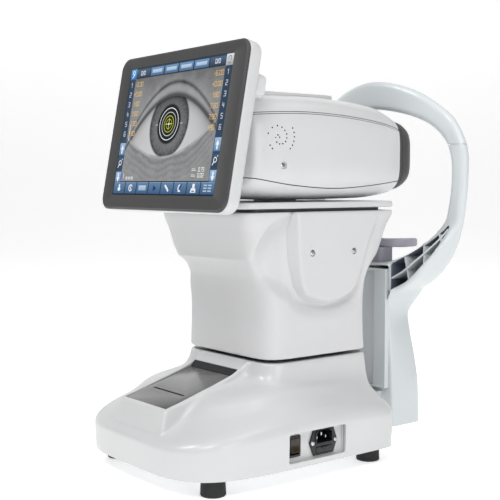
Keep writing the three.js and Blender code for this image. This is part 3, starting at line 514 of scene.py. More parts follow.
def smooth_outline(points, per_span=10, closed=True):
    """A Catmull-Rom curve through points in a plane."""
    points = np.asarray(points, float)
    out = []
    for i in range(len(points) if closed else len(points) - 1):
        if closed:
            a, b, c, d = (points[(i + k) % len(points)] for k in (-1, 0, 1, 2))
        else:
            a, b, c, d = (points[min(max(i + k, 0), len(points) - 1)] for k in (-1, 0, 1, 2))
        for t in np.linspace(0, 1, per_span, endpoint=False):
            out.append(0.5 * (2 * b + (c - a) * t + (2 * a - 5 * b + 4 * c - d) * t ** 2
                              + (3 * b - a - 3 * c + d) * t ** 3))
    if not closed:
        out.append(points[-1])
    return np.array(out)


def superellipse(u, v, power):
    return (np.abs(u) ** power + np.abs(v) ** power) ** (1 / power) - 1


# ---------------------------------------------------------------- base cover
# Half width, front, rear, middle, heights in front, at the side and behind, squareness in front and behind.
BASE_RINGS = np.array([
    [134, -219, 83, -40, 20.5, 20.5, 20.5, 4.2, 18], [135, -220, 84, -40, 50, 62, 57, 4.2, 18],
    [134, -219, 84, -40, 54, 69, 63, 4.2, 18], [131.5, -216, 83.5, -40, 57, 75, 68.5, 4.2, 17],
    [126, -210, 83, -39, 59.5, 81.5, 73.5, 4.2, 15], [118, -198, 82.8, -36, 63.5, 87, 78, 4.2, 13],
    [111, -183, 82.5, -32, 69, 92, 82, 4.2, 12], [107, -172, 82.4, -29, 76, 96.5, 84.5, 4.2, 12],
    [103, -160, 82.2, -26, 84, 101.5, 87, 4.3, 12], [99, -147, 82, -22, 89.5, 104.5, 90, 4.4, 12],
    [95, -124, 81.5, -14, 96.5, 106.5, 96, 4.8, 12], [92.5, -99, 80.8, -8, 105, 110, 104, 5.5, 12],
    [91, -87, 79.8, -3, 117, 118, 114, 6.5, 12], [89.5, -82, 78, -1.5, 132, 132, 132, 6.5, 12]])
BASE_FLOOR, BASE_TOP = 20.5, 132.0
NOSE_HALF = 47.5
LID_HALF, LID_FRONT, LID_REAR = 43.6, (-196.3, 88.7), (-102.8, 115.3)
LID_SLOPE = (LID_REAR[1] - LID_FRONT[1]) / (LID_REAR[0] - LID_FRONT[0])
WALL = 3.0


def lid_top(y):
    return LID_FRONT[1] + (y - LID_FRONT[0]) * LID_SLOPE


def base_field(x, y, z, cell):
    side_heights = BASE_RINGS[:, 5]
    levels = np.linspace(BASE_FLOOR, BASE_TOP, 300)
    front_heights = curve_through(side_heights, BASE_RINGS[:, 4], levels)
    rear_heights = curve_through(side_heights, BASE_RINGS[:, 6], levels)
    rows = []
    for place in y.ravel():
        share = min(abs(place + 38) / (178 if place < -38 else 119), 1.0) ** 2
        heights = levels + ((front_heights if place < -38 else rear_heights) - levels) * share
        rows.append(np.interp(z.ravel(), heights, levels))
    level = np.stack(rows)[None]

    def at(column):
        return curve_through(side_heights, BASE_RINGS[:, column], level)

    half, front, rear, middle = at(0), at(1), at(2), at(3)
    reach = np.where(y < middle, middle - front, rear - middle)
    power = np.where(y < middle, at(7), at(8))
    body = superellipse(x / half, (y - middle) / reach, power) * np.minimum(half, reach)
    body = distance_like(body, cell)
    crest = curve_through([-215, -203.5, -196, -110, -102, -94, -77, -60],
                          [84.6, 87.6, 89.4, 115, 118, 122.6, 131, 131.5], y)
    wall = curve_through([40, 58, 87, 140], [-211.6, -210.9, -203.4, -190], z) + 2.2 * (x / NOSE_HALF) ** 2
    nose = smooth_max(z - crest, wall - y, 3)
    nose = smooth_max(nose, np.abs(x) - NOSE_HALF - 0.12 * np.maximum(100 - z, 0), 3.5)
    nose = np.maximum(nose, y + 62)
    blend = 1.5 + 7 * ease((np.abs(x) - 38) / 10) * ease((y + 200) / 50)
    body = smooth_max(smooth_min(body, nose, blend), z - BASE_TOP, 3)
    return np.maximum(body, BASE_FLOOR - 4 - z)


def lid_pocket():
    floor = 4.5
    outline = [(LID_FRONT[0] - 0.6, lid_top(LID_FRONT[0]) - floor), (LID_FRONT[0] - 0.6, 100), (-130, 145),
               (-94, 145), (-94, lid_top(-94) - floor)]
    return prism("pocket", outline, -LID_HALF - 0.6, LID_HALF + 0.6, "x", WHITE)


def make_base_cover():
    (x, y, z), low, cell = grid_of((-137, -222, BASE_FLOOR - 6), (137, 86, BASE_TOP + 2))
    skin = base_field(x, y, z, cell)
    cover = from_field("base_cover_skin", skin, low, cell, WHITE)
    cut(cover, from_field("inner", skin + WALL, low, cell, WHITE))
    cut_box(cover, (-200, -300, -30), (200, 200, BASE_FLOOR))
    cut(cover, lid_pocket())
    travel, post = (40, -36, 0), (14, -12, 16)
    cut_box(cover, (-travel[0] - post[0] - 2, post[1] + travel[1] - 2, 122),
            (travel[0] + post[0] + 2, post[2] + travel[2] + 2, 140))
    opening = rounded_rectangle(87, 34, 3.2, -47.5, 44)
    cut(cover, prism("gap", opening, 112, 140, "x", WHITE))
    cut_box(cover, (-46.3, 70, 10), (46.3, 90, 66.3))
    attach(cover, "base")
    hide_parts("base_cover")
    # Walls of the lid recess, dark inside, stand on the CAD pocket's sides.
    lining = prism("printer_recess", [(-101.4, 115.2), (-101.0, 114.6), (-98.6, 113), (-97.6, 110.8),
                                      (-94.2, 110.8), (-94.2, 121.8), (-94.9, 122.0), (-100.6, 115.9)],
                   -LID_HALF - 0.4, LID_HALF + 0.4, "x", BLACK)
    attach(lining, "base")
    return cover


# ---------------------------------------------------------------- column
# Height, half width, front, rear, squareness in front and behind.
COLUMN_RINGS = np.array([
    [136, 89.5, -83, 79, 7, 12], [155, 89, -82.5, 78, 7, 12], [190, 88.5, -82, 77.5, 7, 12],
    [212, 88.5, -84, 79, 7, 12], [228, 88.5, -87.5, 83, 7, 12], [242, 88.5, -94, 92, 7.5, 12],
    [256, 88.5, -103, 104, 9, 12], [274, 88.5, -109, 112, 11, 13], [292, 88.5, -114, 119.5, 13, 14],
    [303, 88.5, -117, 125.5, 14, 14], [309, 89, -118, 129, 14, 14]])
COLUMN_BOTTOM, COLUMN_TOP = 136.0, 309.0
PAD_OUTLINE = [(-42, 330), (-41, 300), (-40, 270), (-37, 241), (-34, 223), (-26, 211), (-12, 205),
               (8, 201), (28, 203.5), (44, 210), (55, 221), (65, 243), (78, 277), (92, 302), (104, 330)]
SCOOP_OUTLINE = [(-46, 320), (-55, 310), (-67, 305), (-83, 295), (-95, 280), (-101, 269), (-105, 255),
                 (-103, 238), (-94, 222), (-78, 210), (-58, 202), (-34, 204), (-26, 230), (-30, 270),
                 (-32, 320)]
PAD_FACE = 92.0
PAD_SCREWS = [(-19, 260), (49, 260)]


def column_field(x, y, z, cell):
    heights = COLUMN_RINGS[:, 0]
    half, front, rear, front_power, rear_power = (
        curve_through(heights, COLUMN_RINGS[:, c], z) for c in range(1, 6))
    yy, zz = y + 0 * z, z + 0 * y
    pad = polygon_distance(yy, zz, PAD_OUTLINE)
    # A narrow valley runs round the pad, and a wide scoop lies between the pad and the front corner.
    valley = np.exp(-((pad - 9) / 12) ** 2) * (1 - ease((yy - 56) / 24)) * (1 - ease((zz - 290) / 17))
    inward = np.clip(-polygon_distance(yy, zz, SCOOP_OUTLINE) / 26, 0, 1)
    crisp = ease((zz - 232) / 20)
    scoop = ease(inward) * (1 - crisp) + np.sin(math.pi / 2 * inward) * crisp
    half = half - smooth_max(11 * valley * ease((zz - 166) / 40), 15 * scoop, 4)
    half = half + 2.9 * ease((zz - 286) / 16)
    # The underside of the flare meets the front in a crease.
    front = front - 2.6 * np.exp(-np.abs(z - 253) / 5)
    middle = (front + rear) / 2
    reach = (rear - front) / 2
    power = np.where(y < middle, front_power, rear_power)
    body = superellipse(x / half, (y - middle) / reach, power) * np.minimum(half, reach)
    return distance_like(body, cell)


def make_dust_shield():
    """The thin plate that slides over the base's opening with the column."""
    plate = prism("dust_shield_plate", rounded_rectangle(150, 133, 30, 0, -2.5, 12), 132.5, 133.7, "z",
                  CHARCOAL, 0.3)
    cut_box(plate, (-36, -50, 130), (36, 18, 136))
    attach(plate, "dust_shield")
    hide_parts("dust_shield")


def make_column():
    (x, y, z), low, cell = grid_of((-92, -120, COLUMN_BOTTOM - 5), (92, 131, COLUMN_TOP + 2))
    skin = column_field(x, y, z, cell)
    outer = smooth_max(smooth_max(skin, COLUMN_BOTTOM - z, 2.5), z - COLUMN_TOP, 3.5)
    shell = from_field("column_skin", outer, low, cell, SHELL)
    inner = np.maximum(np.maximum(skin + WALL, z - COLUMN_TOP + WALL), COLUMN_BOTTOM - 3 - z)
    cut(shell, from_field("inner", inner, low, cell, SHELL))
    cut_box(shell, (-22, -22, 300), (22, 46, 320))
    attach(shell, "column")
    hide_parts("column_shell")
    for side, sign in (("right", 1), ("left", -1)):
        (x, y, z), low, cell = grid_of((60, -60, 188), (93, 110, 310), cell=CELL * 0.75)
        plan = polygon_distance(y + 0 * z, z + 0 * y, PAD_OUTLINE) + 0 * x
        face = PAD_FACE - 0.2 * ease((z - 286) / 20)
        pad = smooth_max(plan - 0.4 * np.maximum(face - x, 0), x - face, 3)
        pad = smooth_max(pad, z - COLUMN_TOP, 3.5)
        pad = np.maximum(pad, -(column_field(x, y, z, cell) + 0.4))
        points, quads = surface_net(pad, low, cell)
        points = settle(relax(points, quads, 1), pad, low, cell)
        points[:, 0] *= sign
        if sign < 0:
            quads = quads[:, ::-1]
        cover = new_object(f"side_pad_{side}", points, quads, SHELL, 60)
        for hole_y, hole_z in PAD_SCREWS:
            place = (sign * 96 - 6 * sign, hole_y, hole_z)
            cut(cover, turned("hole", [(4.1, -6), (4.1, 12)], place, "x", SHELL, 40))
        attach(cover, "column")
        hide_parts(f"side_cover_{side}")


# ---------------------------------------------------------------- head
# Place along Y, half width, underside, top.
HEAD_SECTIONS = np.array([
    [-114, 84, 338, 432], [-108, 92, 330, 441], [-95, 96, 325, 446], [-50, 99, 322.8, 448],
    [0, 100, 322.5, 449], [50, 99, 322.8, 447], [95, 96, 323.5, 443], [120, 91, 325.5, 436],
    [133, 87.5, 327.5, 431]])
HEAD_POWER = 4.2
UPPER_SEAM = [(-130, 419.5), (-105, 421.3), (-38, 424.5), (30, 422.5), (92, 416.5), (145, 408.5)]
LOWER_SEAM = [(-130, 350), (-112, 349), (-45, 340), (35, 337), (145, 347)]
SPEAKER_PLACE = (-74, 396)
SPEAKER_MIDDLE = [(-7, -1.5), (-4, 1.5), (-1.5, -1)]
SPIRAL_RUNS = [(-130, 170, 11), (215, 230, 2), (315, 390, 6)]  # first angle, last angle, holes
HEAD_SCREW = (-69, 363)
OPTICAL_HEIGHT = 380


def head_field(x, y, z, cell):
    places = HEAD_SECTIONS[:, 0]
    half, low, high = (curve_through(places, HEAD_SECTIONS[:, c], y) for c in (1, 2, 3))
    reach = (high - low) / 2
    body = superellipse(x / half, (z - (low + high) / 2) / reach, HEAD_POWER) * np.minimum(half, reach)
    return distance_like(body, cell)


def seam_cutter(seam, width):
    """A thin curved wall that follows a seam across the whole head."""
    line = smooth_outline(seam, 8, closed=False)
    upper = line + np.array([0, width / 2])
    lower = line - np.array([0, width / 2])
    return prism("gap", np.concatenate([upper, lower[::-1]]), -110, 110, "x", WHITE)


def seam_side(seam, shift, up):
    line = smooth_outline(seam, 8, closed=False) + np.array([0, shift])
    edge = 500 if up else 300
    outline = np.concatenate([line, [(145, edge), (-130, edge)]])
    return prism("side", outline, -110, 110, "x", WHITE)


def speaker_places():
    """Sound holes that wind out in a broken spiral, as places from the speaker's centre."""
    yield from SPEAKER_MIDDLE
    for first, last, count in SPIRAL_RUNS:
        for degrees in np.linspace(first, last, count):
            radius = float(np.interp(degrees, [-130, 60, 170, 390], [8.7, 9, 17.5, 20]))
            yield radius * math.cos(math.radians(degrees)), radius * math.sin(math.radians(degrees))


def screw(name, centre, axis_sign, radius, body, replaces=None):
    """A cross-recessed screw whose head faces along X; axis_sign is the way it faces."""
    r = radius
    profile = [(r * 0.98, -1.6), (r, -0.2), (r * 0.93, 0.35), (r * 0.6, 0.75), (0.05, 0.85)]
    if axis_sign < 0:
        profile = [(a, -b) for a, b in profile]
    head = turned(name, profile, centre, "x", STEEL, 32)
    x0, x1 = sorted([centre[0] + axis_sign * 0.2, centre[0] + axis_sign * 2])
    for w, h in ((r * 0.16, r * 0.6), (r * 0.6, r * 0.16)):
        cut_box(head, (x0, centre[1] - w, centre[2] - h), (x1, centre[1] + w, centre[2] + h))
    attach(head, body)
    if replaces:
        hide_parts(replaces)


def make_head():
    (x, y, z), low, cell = grid_of((-102, -118, 321), (102, 140, 452), cell=CELL * 0.9)
    skin = head_field(x, y, z, cell)
    ends = smooth_max(skin, -114 - y, 9)
    outer = np.maximum(ends, y - 136)
    inner = np.maximum(np.maximum(skin + WALL, -111 - y), y - 138)
    whole = from_field("head_skin", outer, low, cell, HEAD)
    cut(whole, from_field("inner", inner, low, cell, HEAD))
    cut_box(whole, (-120, 133, 300), (120, 160, 500))
    cap_outline = rounded_rectangle(120, 140, 22, 0, -18, 12)
    parts = {}
    for name, pieces in (("head_top", [(UPPER_SEAM, 1.5, True)]),
                         ("head_bottom", [(LOWER_SEAM, -0.55, False)]),
                         ("head_band", [(UPPER_SEAM, -1.5, False), (LOWER_SEAM, 0.55, True)])):
        part = copy_of(whole, name)
        for seam, shift, up in pieces:
            cut(part, seam_side(seam, shift, up), "INTERSECT")
        parts[name] = part
    bpy.data.objects.remove(whole)

    def layer(name, inset, rear, front, material):
        """A thin layer under the head's skin, from its own inset to 2.9 mm."""
        piece = from_field(name, np.maximum(np.maximum(skin + inset, y - rear), front - y), low, cell,
                           material)
        core = np.maximum(np.maximum(skin + 2.9, y - 137), -110 - y)
        return cut(piece, from_field("inner", core, low, cell, material))

    lip = layer("head_seam_lip", 0.45, 132.8, -113.4, HEAD)
    cut(lip, seam_cutter(UPPER_SEAM, 1.5), "INTERSECT")
    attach(lip, "head")
    lining = layer("head_lining", 1.6, 132.2, -104, CHARCOAL)
    cut(lining, join([seam_cutter(LOWER_SEAM, 7), seam_cutter(UPPER_SEAM, 7)], "gap"), "INTERSECT")
    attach(lining, "head")
    cap = bevel(prism("cap", cap_outline, 445.0, 451.0, "z", WHITE), 1.4, 3)
    top = parts["head_top"]
    top.data.materials[0] = WHITE
    groove = prism("gap", rounded_rectangle(122.4, 142.4, 23, 0, -18, 12), 446.2, 460, "z", WHITE)
    cut(top, groove)
    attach(cap, "head")
    cap.name = "head_top_plate"
    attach(top, "head")
    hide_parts("head_top_cover")
    bottom = parts["head_bottom"]
    cut_box(bottom, (-21, -21, 310), (21, 46, 330), material=WHITE)
    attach(bottom, "head")
    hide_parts("head_bottom_cover")
    band = parts["head_band"]
    cut_box(band, (-30, -130, 396), (30, -100, 421), material=WHITE)
    for side, sign in (("right", 1), ("left", -1)):
        half = copy_of(band, f"head_side_{side}_skin")
        x0, x1 = sorted([sign * 0.2, sign * 120])
        cut_box(half, (x0, -150, 300), (x1, 160, 500), "INTERSECT", WHITE)
        if sign > 0:
            for u, v in speaker_places():
                cut(half, turned("hole", [(0.95, -12), (0.95, 14)],
                                 (96, SPEAKER_PLACE[0] + u, SPEAKER_PLACE[1] + v), "x", BLACK, 14))
        cut(half, turned("hole", [(4.3, -2.4), (5.2, 6)] if sign > 0 else [(5.2, -6), (4.3, 2.4)],
                         (sign * 98.2, *HEAD_SCREW), "x", HEAD, 40))
        screw(f"head_screw_{side}", (sign * 96.1, *HEAD_SCREW), sign, 3.5, "head")
        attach(half, "head")
        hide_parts(f"head_side_{side}")
    bpy.data.objects.remove(band)


# Place along Y, half width, underside, top.
BEZEL_RINGS = [
    (133.3, 86.0, 329.0, 429.5), (136.4, 85.7, 329.3, 429.2), (137.2, 84.6, 330.4, 428.1),
    (140.6, 84.4, 330.6, 427.9), (141.0, 83.0, 332.0, 426.5), (141.8, 83.0, 332.0, 426.5),
    (142.2, 84.2, 330.8, 427.7), (151.5, 83.0, 332.4, 425.8), (154.5, 82.0, 333.4, 424.6),
    (161.5, 78.6, 336.9, 421.5), (163.4, 77.0, 338.4, 420.1), (164, 75.4, 340, 418.6)]


def head_ring(half, low, high, place):
    angles = np.linspace(0, 2 * math.pi, 160, endpoint=False)
    c, s = np.cos(angles), np.sin(angles)
    x = half * np.sign(c) * np.abs(c) ** (2 / HEAD_POWER)
    z = (low + high) / 2 + (high - low) / 2 * np.sign(s) * np.abs(s) ** (2 / HEAD_POWER)
    return np.stack([x, np.full(angles.size, float(place)), z], 1)


def make_bezel():
    ring = loft("patient_ring", [head_ring(h, a, b, y) for y, h, a, b in BEZEL_RINGS], CHARCOAL, 25)
    opening = rounded_rectangle(124, 60, 16, 0, OPTICAL_HEIGHT, 12)
    cut(ring, prism("gap", opening, 120, 170, "y", BLACK), sharp=25)
    bevel(ring, 0.8, 2, 50)
    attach(ring, "head")
    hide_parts("patient_bezel")
    plate = prism("patient_plate", rounded_rectangle(123, 59, 15.5, 0, OPTICAL_HEIGHT, 12), 150, 154, "y",
                  BLACK, 1.2)
    cut_bore(plate, 22, 14, (0, 152, OPTICAL_HEIGHT), "y", 64)
    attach(plate, "head")
    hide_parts("patient_face")
    collar = turned("window_collar",
                    [(21.6, 1.2), (22.6, 1.6), (24.4, 1.6), (25.2, 0.6), (25.2, -0.4), (21.6, -0.4)],
                    (0, 154, OPTICAL_HEIGHT), "y", STEEL, 96)
    cut_bore(collar, 21.5, 8, (0, 154, OPTICAL_HEIGHT), "y", 96)
    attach(collar, "head")
    lens = turned("window_lens", [(21.4, -1.2), (21.4, 0.6), (20, 1.1), (14, 1.9), (7, 2.3), (0.05, 2.4)],
                  (0, 150.7, OPTICAL_HEIGHT), "y", WINDOW, 96)
    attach(lens, "head")
    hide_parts("objective_window")


def make_deck():
    """The white plate between column and head, over a narrower dark neck."""
    deck = prism("column_deck", rounded_rectangle(176, 250, 20, 0, 7, 12), 313, 320.5, "z", WHITE, 1.8, 4)
    neck = prism("column_neck", rounded_rectangle(160, 216, 16, 0, 4, 10), 309.3, 313.6, "z", CHARCOAL)
    for part, slot in ((deck, "white"), (neck, "charcoal")):
        cut_box(part, (-21, -21, 300), (21, 46, 330), material=WHITE)
        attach(part, "column")
    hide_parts("column_top_plate")


# ---------------------------------------------------------------- headrest
HOOP_OUTER = [(0, 186), (38, 183), (67, 200), (92, 214), (115, 235), (132, 262), (141, 290), (146, 322),
              (148.2, 355), (147, 385), (136, 410), (113, 438), (66, 467), (0, 481)]
HOOP_INNER = [(0, 232), (40, 234), (67, 245), (90, 259), (105, 276), (115, 295), (120, 315), (123, 336),
              (124, 355), (122, 377), (112, 399), (88, 421), (50, 435), (0, 442)]
PEDESTAL_RINGS = np.array([[20.8, 68, 68], [72, 64, 66], [110, 62, 59], [140, 60, 51], [165, 58, 46],
                           [182, 57, 50], [200, 57, 59], [231, 58, 58]])
HOOP_REAR, HOOP_SIDE, HOOP_CROWN, HOOP_FOOT = 200, 186, 165, 147
HOOP_SEAM = 392.0
RIB_HALF, CHANNEL_FLOOR = 1.1, 196.4
CHANNEL_SPINE = [(60, 218), (84, 231), (106, 251), (121, 273), (126, 284)]
CHANNEL_RIBS = [[(78, 247), (91.5, 216)], [(98, 265), (114.5, 239)], [(110.5, 281), (130, 264.5)]]


def both_sides(half):
    return smooth_outline(half + [(-x, z) for x, z in half[-2:0:-1]], 8)


def hoop_faces(x, z):
    crown = ease((z - 385) / 55) * (1 - np.clip(np.abs(x) / 124, 0, 1) ** 2)
    foot = ease((300 - z) / 70)
    front = HOOP_SIDE + (HOOP_CROWN - HOOP_SIDE) * crown
    front = front + (HOOP_FOOT - front) * foot
    return front, HOOP_REAR + (HOOP_CROWN + 14 - HOOP_REAR) * crown


def hoop_plan(x, z):
    """How far a place in X and Z is from the hoop's outline, negative on the hoop."""
    outer = polygon_distance(x, z, both_sides(HOOP_OUTER))
    inner = polygon_distance(x, z, both_sides(HOOP_INNER))
    return outer, inner


def channel_rib(name, line, sign):
    """A thin wall inside the channel along a line in X and Z, its front edge just behind the hoop's front."""
    line = np.asarray(line, float)
    along = np.gradient(line, axis=0)
    across = along[:, ::-1] * (1, -1) / np.linalg.norm(along, axis=1)[:, None] * RIB_HALF
    front, _ = hoop_faces(line[:, 0], line[:, 1])
    rings = []
    for (x, z), (dx, dz), y in zip(line, across, front):
        rear = min(y + 31, CHANNEL_FLOOR + 1)
        rings.append([(sign * (x + dx), y + 1.4, z + dz), (sign * (x - dx), y + 1.4, z - dz),
                      (sign * (x - dx), rear, z - dz), (sign * (x + dx), rear, z + dz)])
    return loft(name, rings, REST)


def make_channel_ribs():
    for side, sign in (("right", 1), ("left", -1)):
        spine = channel_rib("spine", smooth_outline(CHANNEL_SPINE, 6, closed=False), sign)
        ribs = [channel_rib("rib", ends, sign) for ends in CHANNEL_RIBS]
        ribs = join([spine] + ribs, f"channel_ribs_{side}")
        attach(ribs, "base")


def make_headrest():
    (x, y, z), low, cell = grid_of((-150, 146, 19), (150, 201, 482))
    flat_x, flat_z = x + 0 * z, z + 0 * x
    outer, inner = hoop_plan(flat_x, flat_z)
    plan = smooth_max(outer, -inner, 5)
    front, rear = hoop_faces(flat_x, flat_z)
    hoop = smooth_max(plan + 0 * y, smooth_max(front - y, y - rear, 5), 9)
    heights = PEDESTAL_RINGS[:, 0]
    front_half = curve_through(heights, PEDESTAL_RINGS[:, 1], z)
    rear_half = curve_through(heights, PEDESTAL_RINGS[:, 2], z)
    half = front_half + (rear_half - front_half) * np.clip((y - HOOP_FOOT) / (HOOP_REAR - HOOP_FOOT), 0, 1)
    pedestal = smooth_max(np.abs(x) - half, HOOP_FOOT - y + 0 * x + 0 * z, 5)
    pedestal = smooth_max(pedestal, y - HOOP_REAR, 9)
    pedestal = smooth_max(pedestal, z - 231, 6)
    whole = smooth_min(hoop, pedestal, 20)
    whole = np.maximum(whole, -(z - 20.8) + 0 * x + 0 * y)
    # A ribbed channel is open to the front on each lower limb.
    taper = 0.22 * np.maximum(flat_z - 252, 0)
    channel_plan = np.maximum(smooth_max(outer + 5.2 + taper, 3.4 - inner + taper, 4), 59.5 - np.abs(flat_x))
    channel_plan = np.maximum(channel_plan, flat_z - 288)
    channel = np.maximum(channel_plan + 0 * y, y - np.minimum(front + 30, CHANNEL_FLOOR))
    whole = np.maximum(whole, -channel)
    frame_piece = from_field("headrest_hoop", whole, low, cell, REST, 2)
    post_half, post_front, post_rear = 26, 163, 189
    for corners in (((-46.3, 140, 10), (46.3, 180.3, 66.3)),
                    ((-post_half - 0.3, post_front - 0.3, 190), (post_half + 0.3, post_rear + 0.3, 262)),
                    ((-36, 140, 74), (36, 194, 226)), ((-57.3, 140, 71.7), (57.3, 150.3, 230.3))):
        cut_box(frame_piece, *corners)
    for sign in (1, -1):
        low_x, high_x = sorted((sign * 112, sign * 160))
        seam = block("gap", (low_x, 140, HOOP_SEAM), (high_x, 210, HOOP_SEAM + 1.1), REST)
        low_x, high_x = sorted((sign * 124.2, sign * 142.6))
        cut(seam, block("core", (low_x, 187, HOOP_SEAM - 5), (high_x, 199, HOOP_SEAM + 5), REST))
        cut(frame_piece, seam)
    # The second slot holds the painted shade for the channel's inner faces.
    frame_piece.data.materials.append(SHADE)
    paint_channel_shade(frame_piece)
    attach(frame_piece, "base")
    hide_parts("headrest_frame")
    make_channel_ribs()
    make_pedestal_cover()


def paint_channel_shade(piece):
    """Paints shade onto the channel's inner faces, a dark blue-grey in place of the shade inside the cavity;
    its ribs stay light at their front edges.
    """
    mesh = piece.data
    count = len(mesh.polygons)
    centres = np.empty(count * 3)
    mesh.polygons.foreach_get("center", centres)
    centres = centres.reshape(-1, 3) / MM
    x, y, z = centres.T
    front, _ = hoop_faces(x, z)
    outer, inner = hoop_plan(x, z)
    # Faces deep inside the channel get the painted shade.
    inside = (np.abs(x) > 58.6) & (z < 292) & (y > front + 1.6) & (y < front + 31)
    inside &= (y < CHANNEL_FLOOR + 1.5) & (outer < -4.2) & (inner > 2.6)
    slots = np.where(inside, 1, 0).astype(np.int32)
    mesh.polygons.foreach_set("material_index", slots)
    mesh.update()


def make_pedestal_cover():
    outline = [(-56.6, 72.2), (56.6, 72.2), (54.4, 110), (53.6, 150), (53.6, 229.8), (-53.6, 229.8),
               (-53.6, 150), (-54.4, 110)]
    # This cover's lighter grey is partly painted light, offsetting the column's shade on it.
    cover = prism("pedestal_front", outline, 147.2, 150, "y", COVER_WITH_PAINTED_LIGHT, 1.0, 3)
    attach(cover, "base")
    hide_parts("pedestal_cover")


def make_forehead_pad():
    """A soft silicone cushion on the patient's side of the crown, crowned and pulled in at its ends."""
    rings = []
    for place in np.linspace(-63, 63, 57):
        centre = 461 - 11 * (place / 60) ** 2
        _, rear = hoop_faces(np.array(place), np.array(centre))
        taper = max(0.03, 1 - (abs(place) / 63.4) ** 5) ** 0.5
        ring = []
        for angle in np.linspace(0, 2 * math.pi, 32, endpoint=False):
            c, s = math.cos(angle), math.sin(angle)
            up = 13 * taper * math.copysign(abs(s) ** 0.7, s)
            rib = 0.35 * math.cos(up * 1.9) * max(0.0, c)
            deep = 3.6 + 3.3 * taper * math.copysign(abs(c) ** 0.75, c) + rib
            ring.append((place, float(rear) + deep, centre + up))
        rings.append(ring)
    pad = loft("forehead_cushion", rings, PAD, 60)
    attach(pad, "base")
    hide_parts("forehead_pad")


def make_chin_rest():
    (x, y, z), low, cell = grid_of((-51, 169, 256), (51, 221, 269), cell=CELL * 0.7)
    plan = polygon_distance(x + 0 * y, y + 0 * x, rounded_rectangle(100, 50, 18, 0, 195, 12))
    plate = smooth_max(plan + 0 * z, np.maximum(257 - z, z - 268) + 0 * x, 3)
    dish = 60 - np.sqrt(x * x + (y - 214) ** 2 + (z - 320) ** 2)
    cup = from_field("chin_dish", smooth_max(plate, dish, 3), low, cell, CHIN, 2)
    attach(cup, "chin_rest")
    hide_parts("chin_cup")
    stem = prism("chin_stem", rounded_rectangle(52, 26, 6, 0, 176, 8), 178, 256.7, "z", CHIN, 0.8)
    for level in np.arange(186, 250, 8.0):
        for y0, y1 in ((162, 163.6), (188.4, 190)):
            cut_box(stem, (-16, y0, level), (16, y1, level + 1.2))
    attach(stem, "chin_rest")
    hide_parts("chin_post")


# ---------------------------------------------------------------- monitor
MONITOR_CENTRE = np.array([0.0, -149.5, 403.0])
MONITOR_TILT = math.radians(10.8)
MONITOR_WIDTH, MONITOR_HEIGHT, MONITOR_CORNER = 261.0, 191.5, 16.0
SCREEN_WIDTH, SCREEN_HEIGHT, SCREEN_RISE = 211.4, 157.7, 1.6
SCREEN_FACE = -11.25
MONITOR_HINGE = (-131, 412)


def to_world(points):
    """Monitor coordinates, tilted back about its centre, as coordinates of the whole part."""
    points = np.asarray(points, float)
    c, s = math.cos(-MONITOR_TILT), math.sin(-MONITOR_TILT)
    x, y, z = points.T
    return np.stack([x, y * c - z * s, y * s + z * c], 1) + MONITOR_CENTRE


def tilt_piece(piece):
    """Moves a piece made in monitor coordinates to its place."""
    mesh = piece.data
    points = np.empty(len(mesh.vertices) * 3)
    mesh.vertices.foreach_get("co", points)
    mesh.vertices.foreach_set("co", (to_world(points.reshape(-1, 3) / MM) * MM).ravel())
    mesh.update()
    return piece


def monitor_rings(rows, steps=14):
    rings = []
    for depth, shrink in rows:
        flat = rounded_rectangle(MONITOR_WIDTH - 2 * shrink, MONITOR_HEIGHT - 2 * shrink,
                                 max(1.0, MONITOR_CORNER - shrink), 0, 0, steps)
        rings.append(np.insert(flat, 1, depth, axis=1))
    return rings


def monitor_piece(piece, replaces=None):
    tilt_piece(piece)
    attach(piece, "monitor")
    if replaces:
        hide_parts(replaces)
    return piece


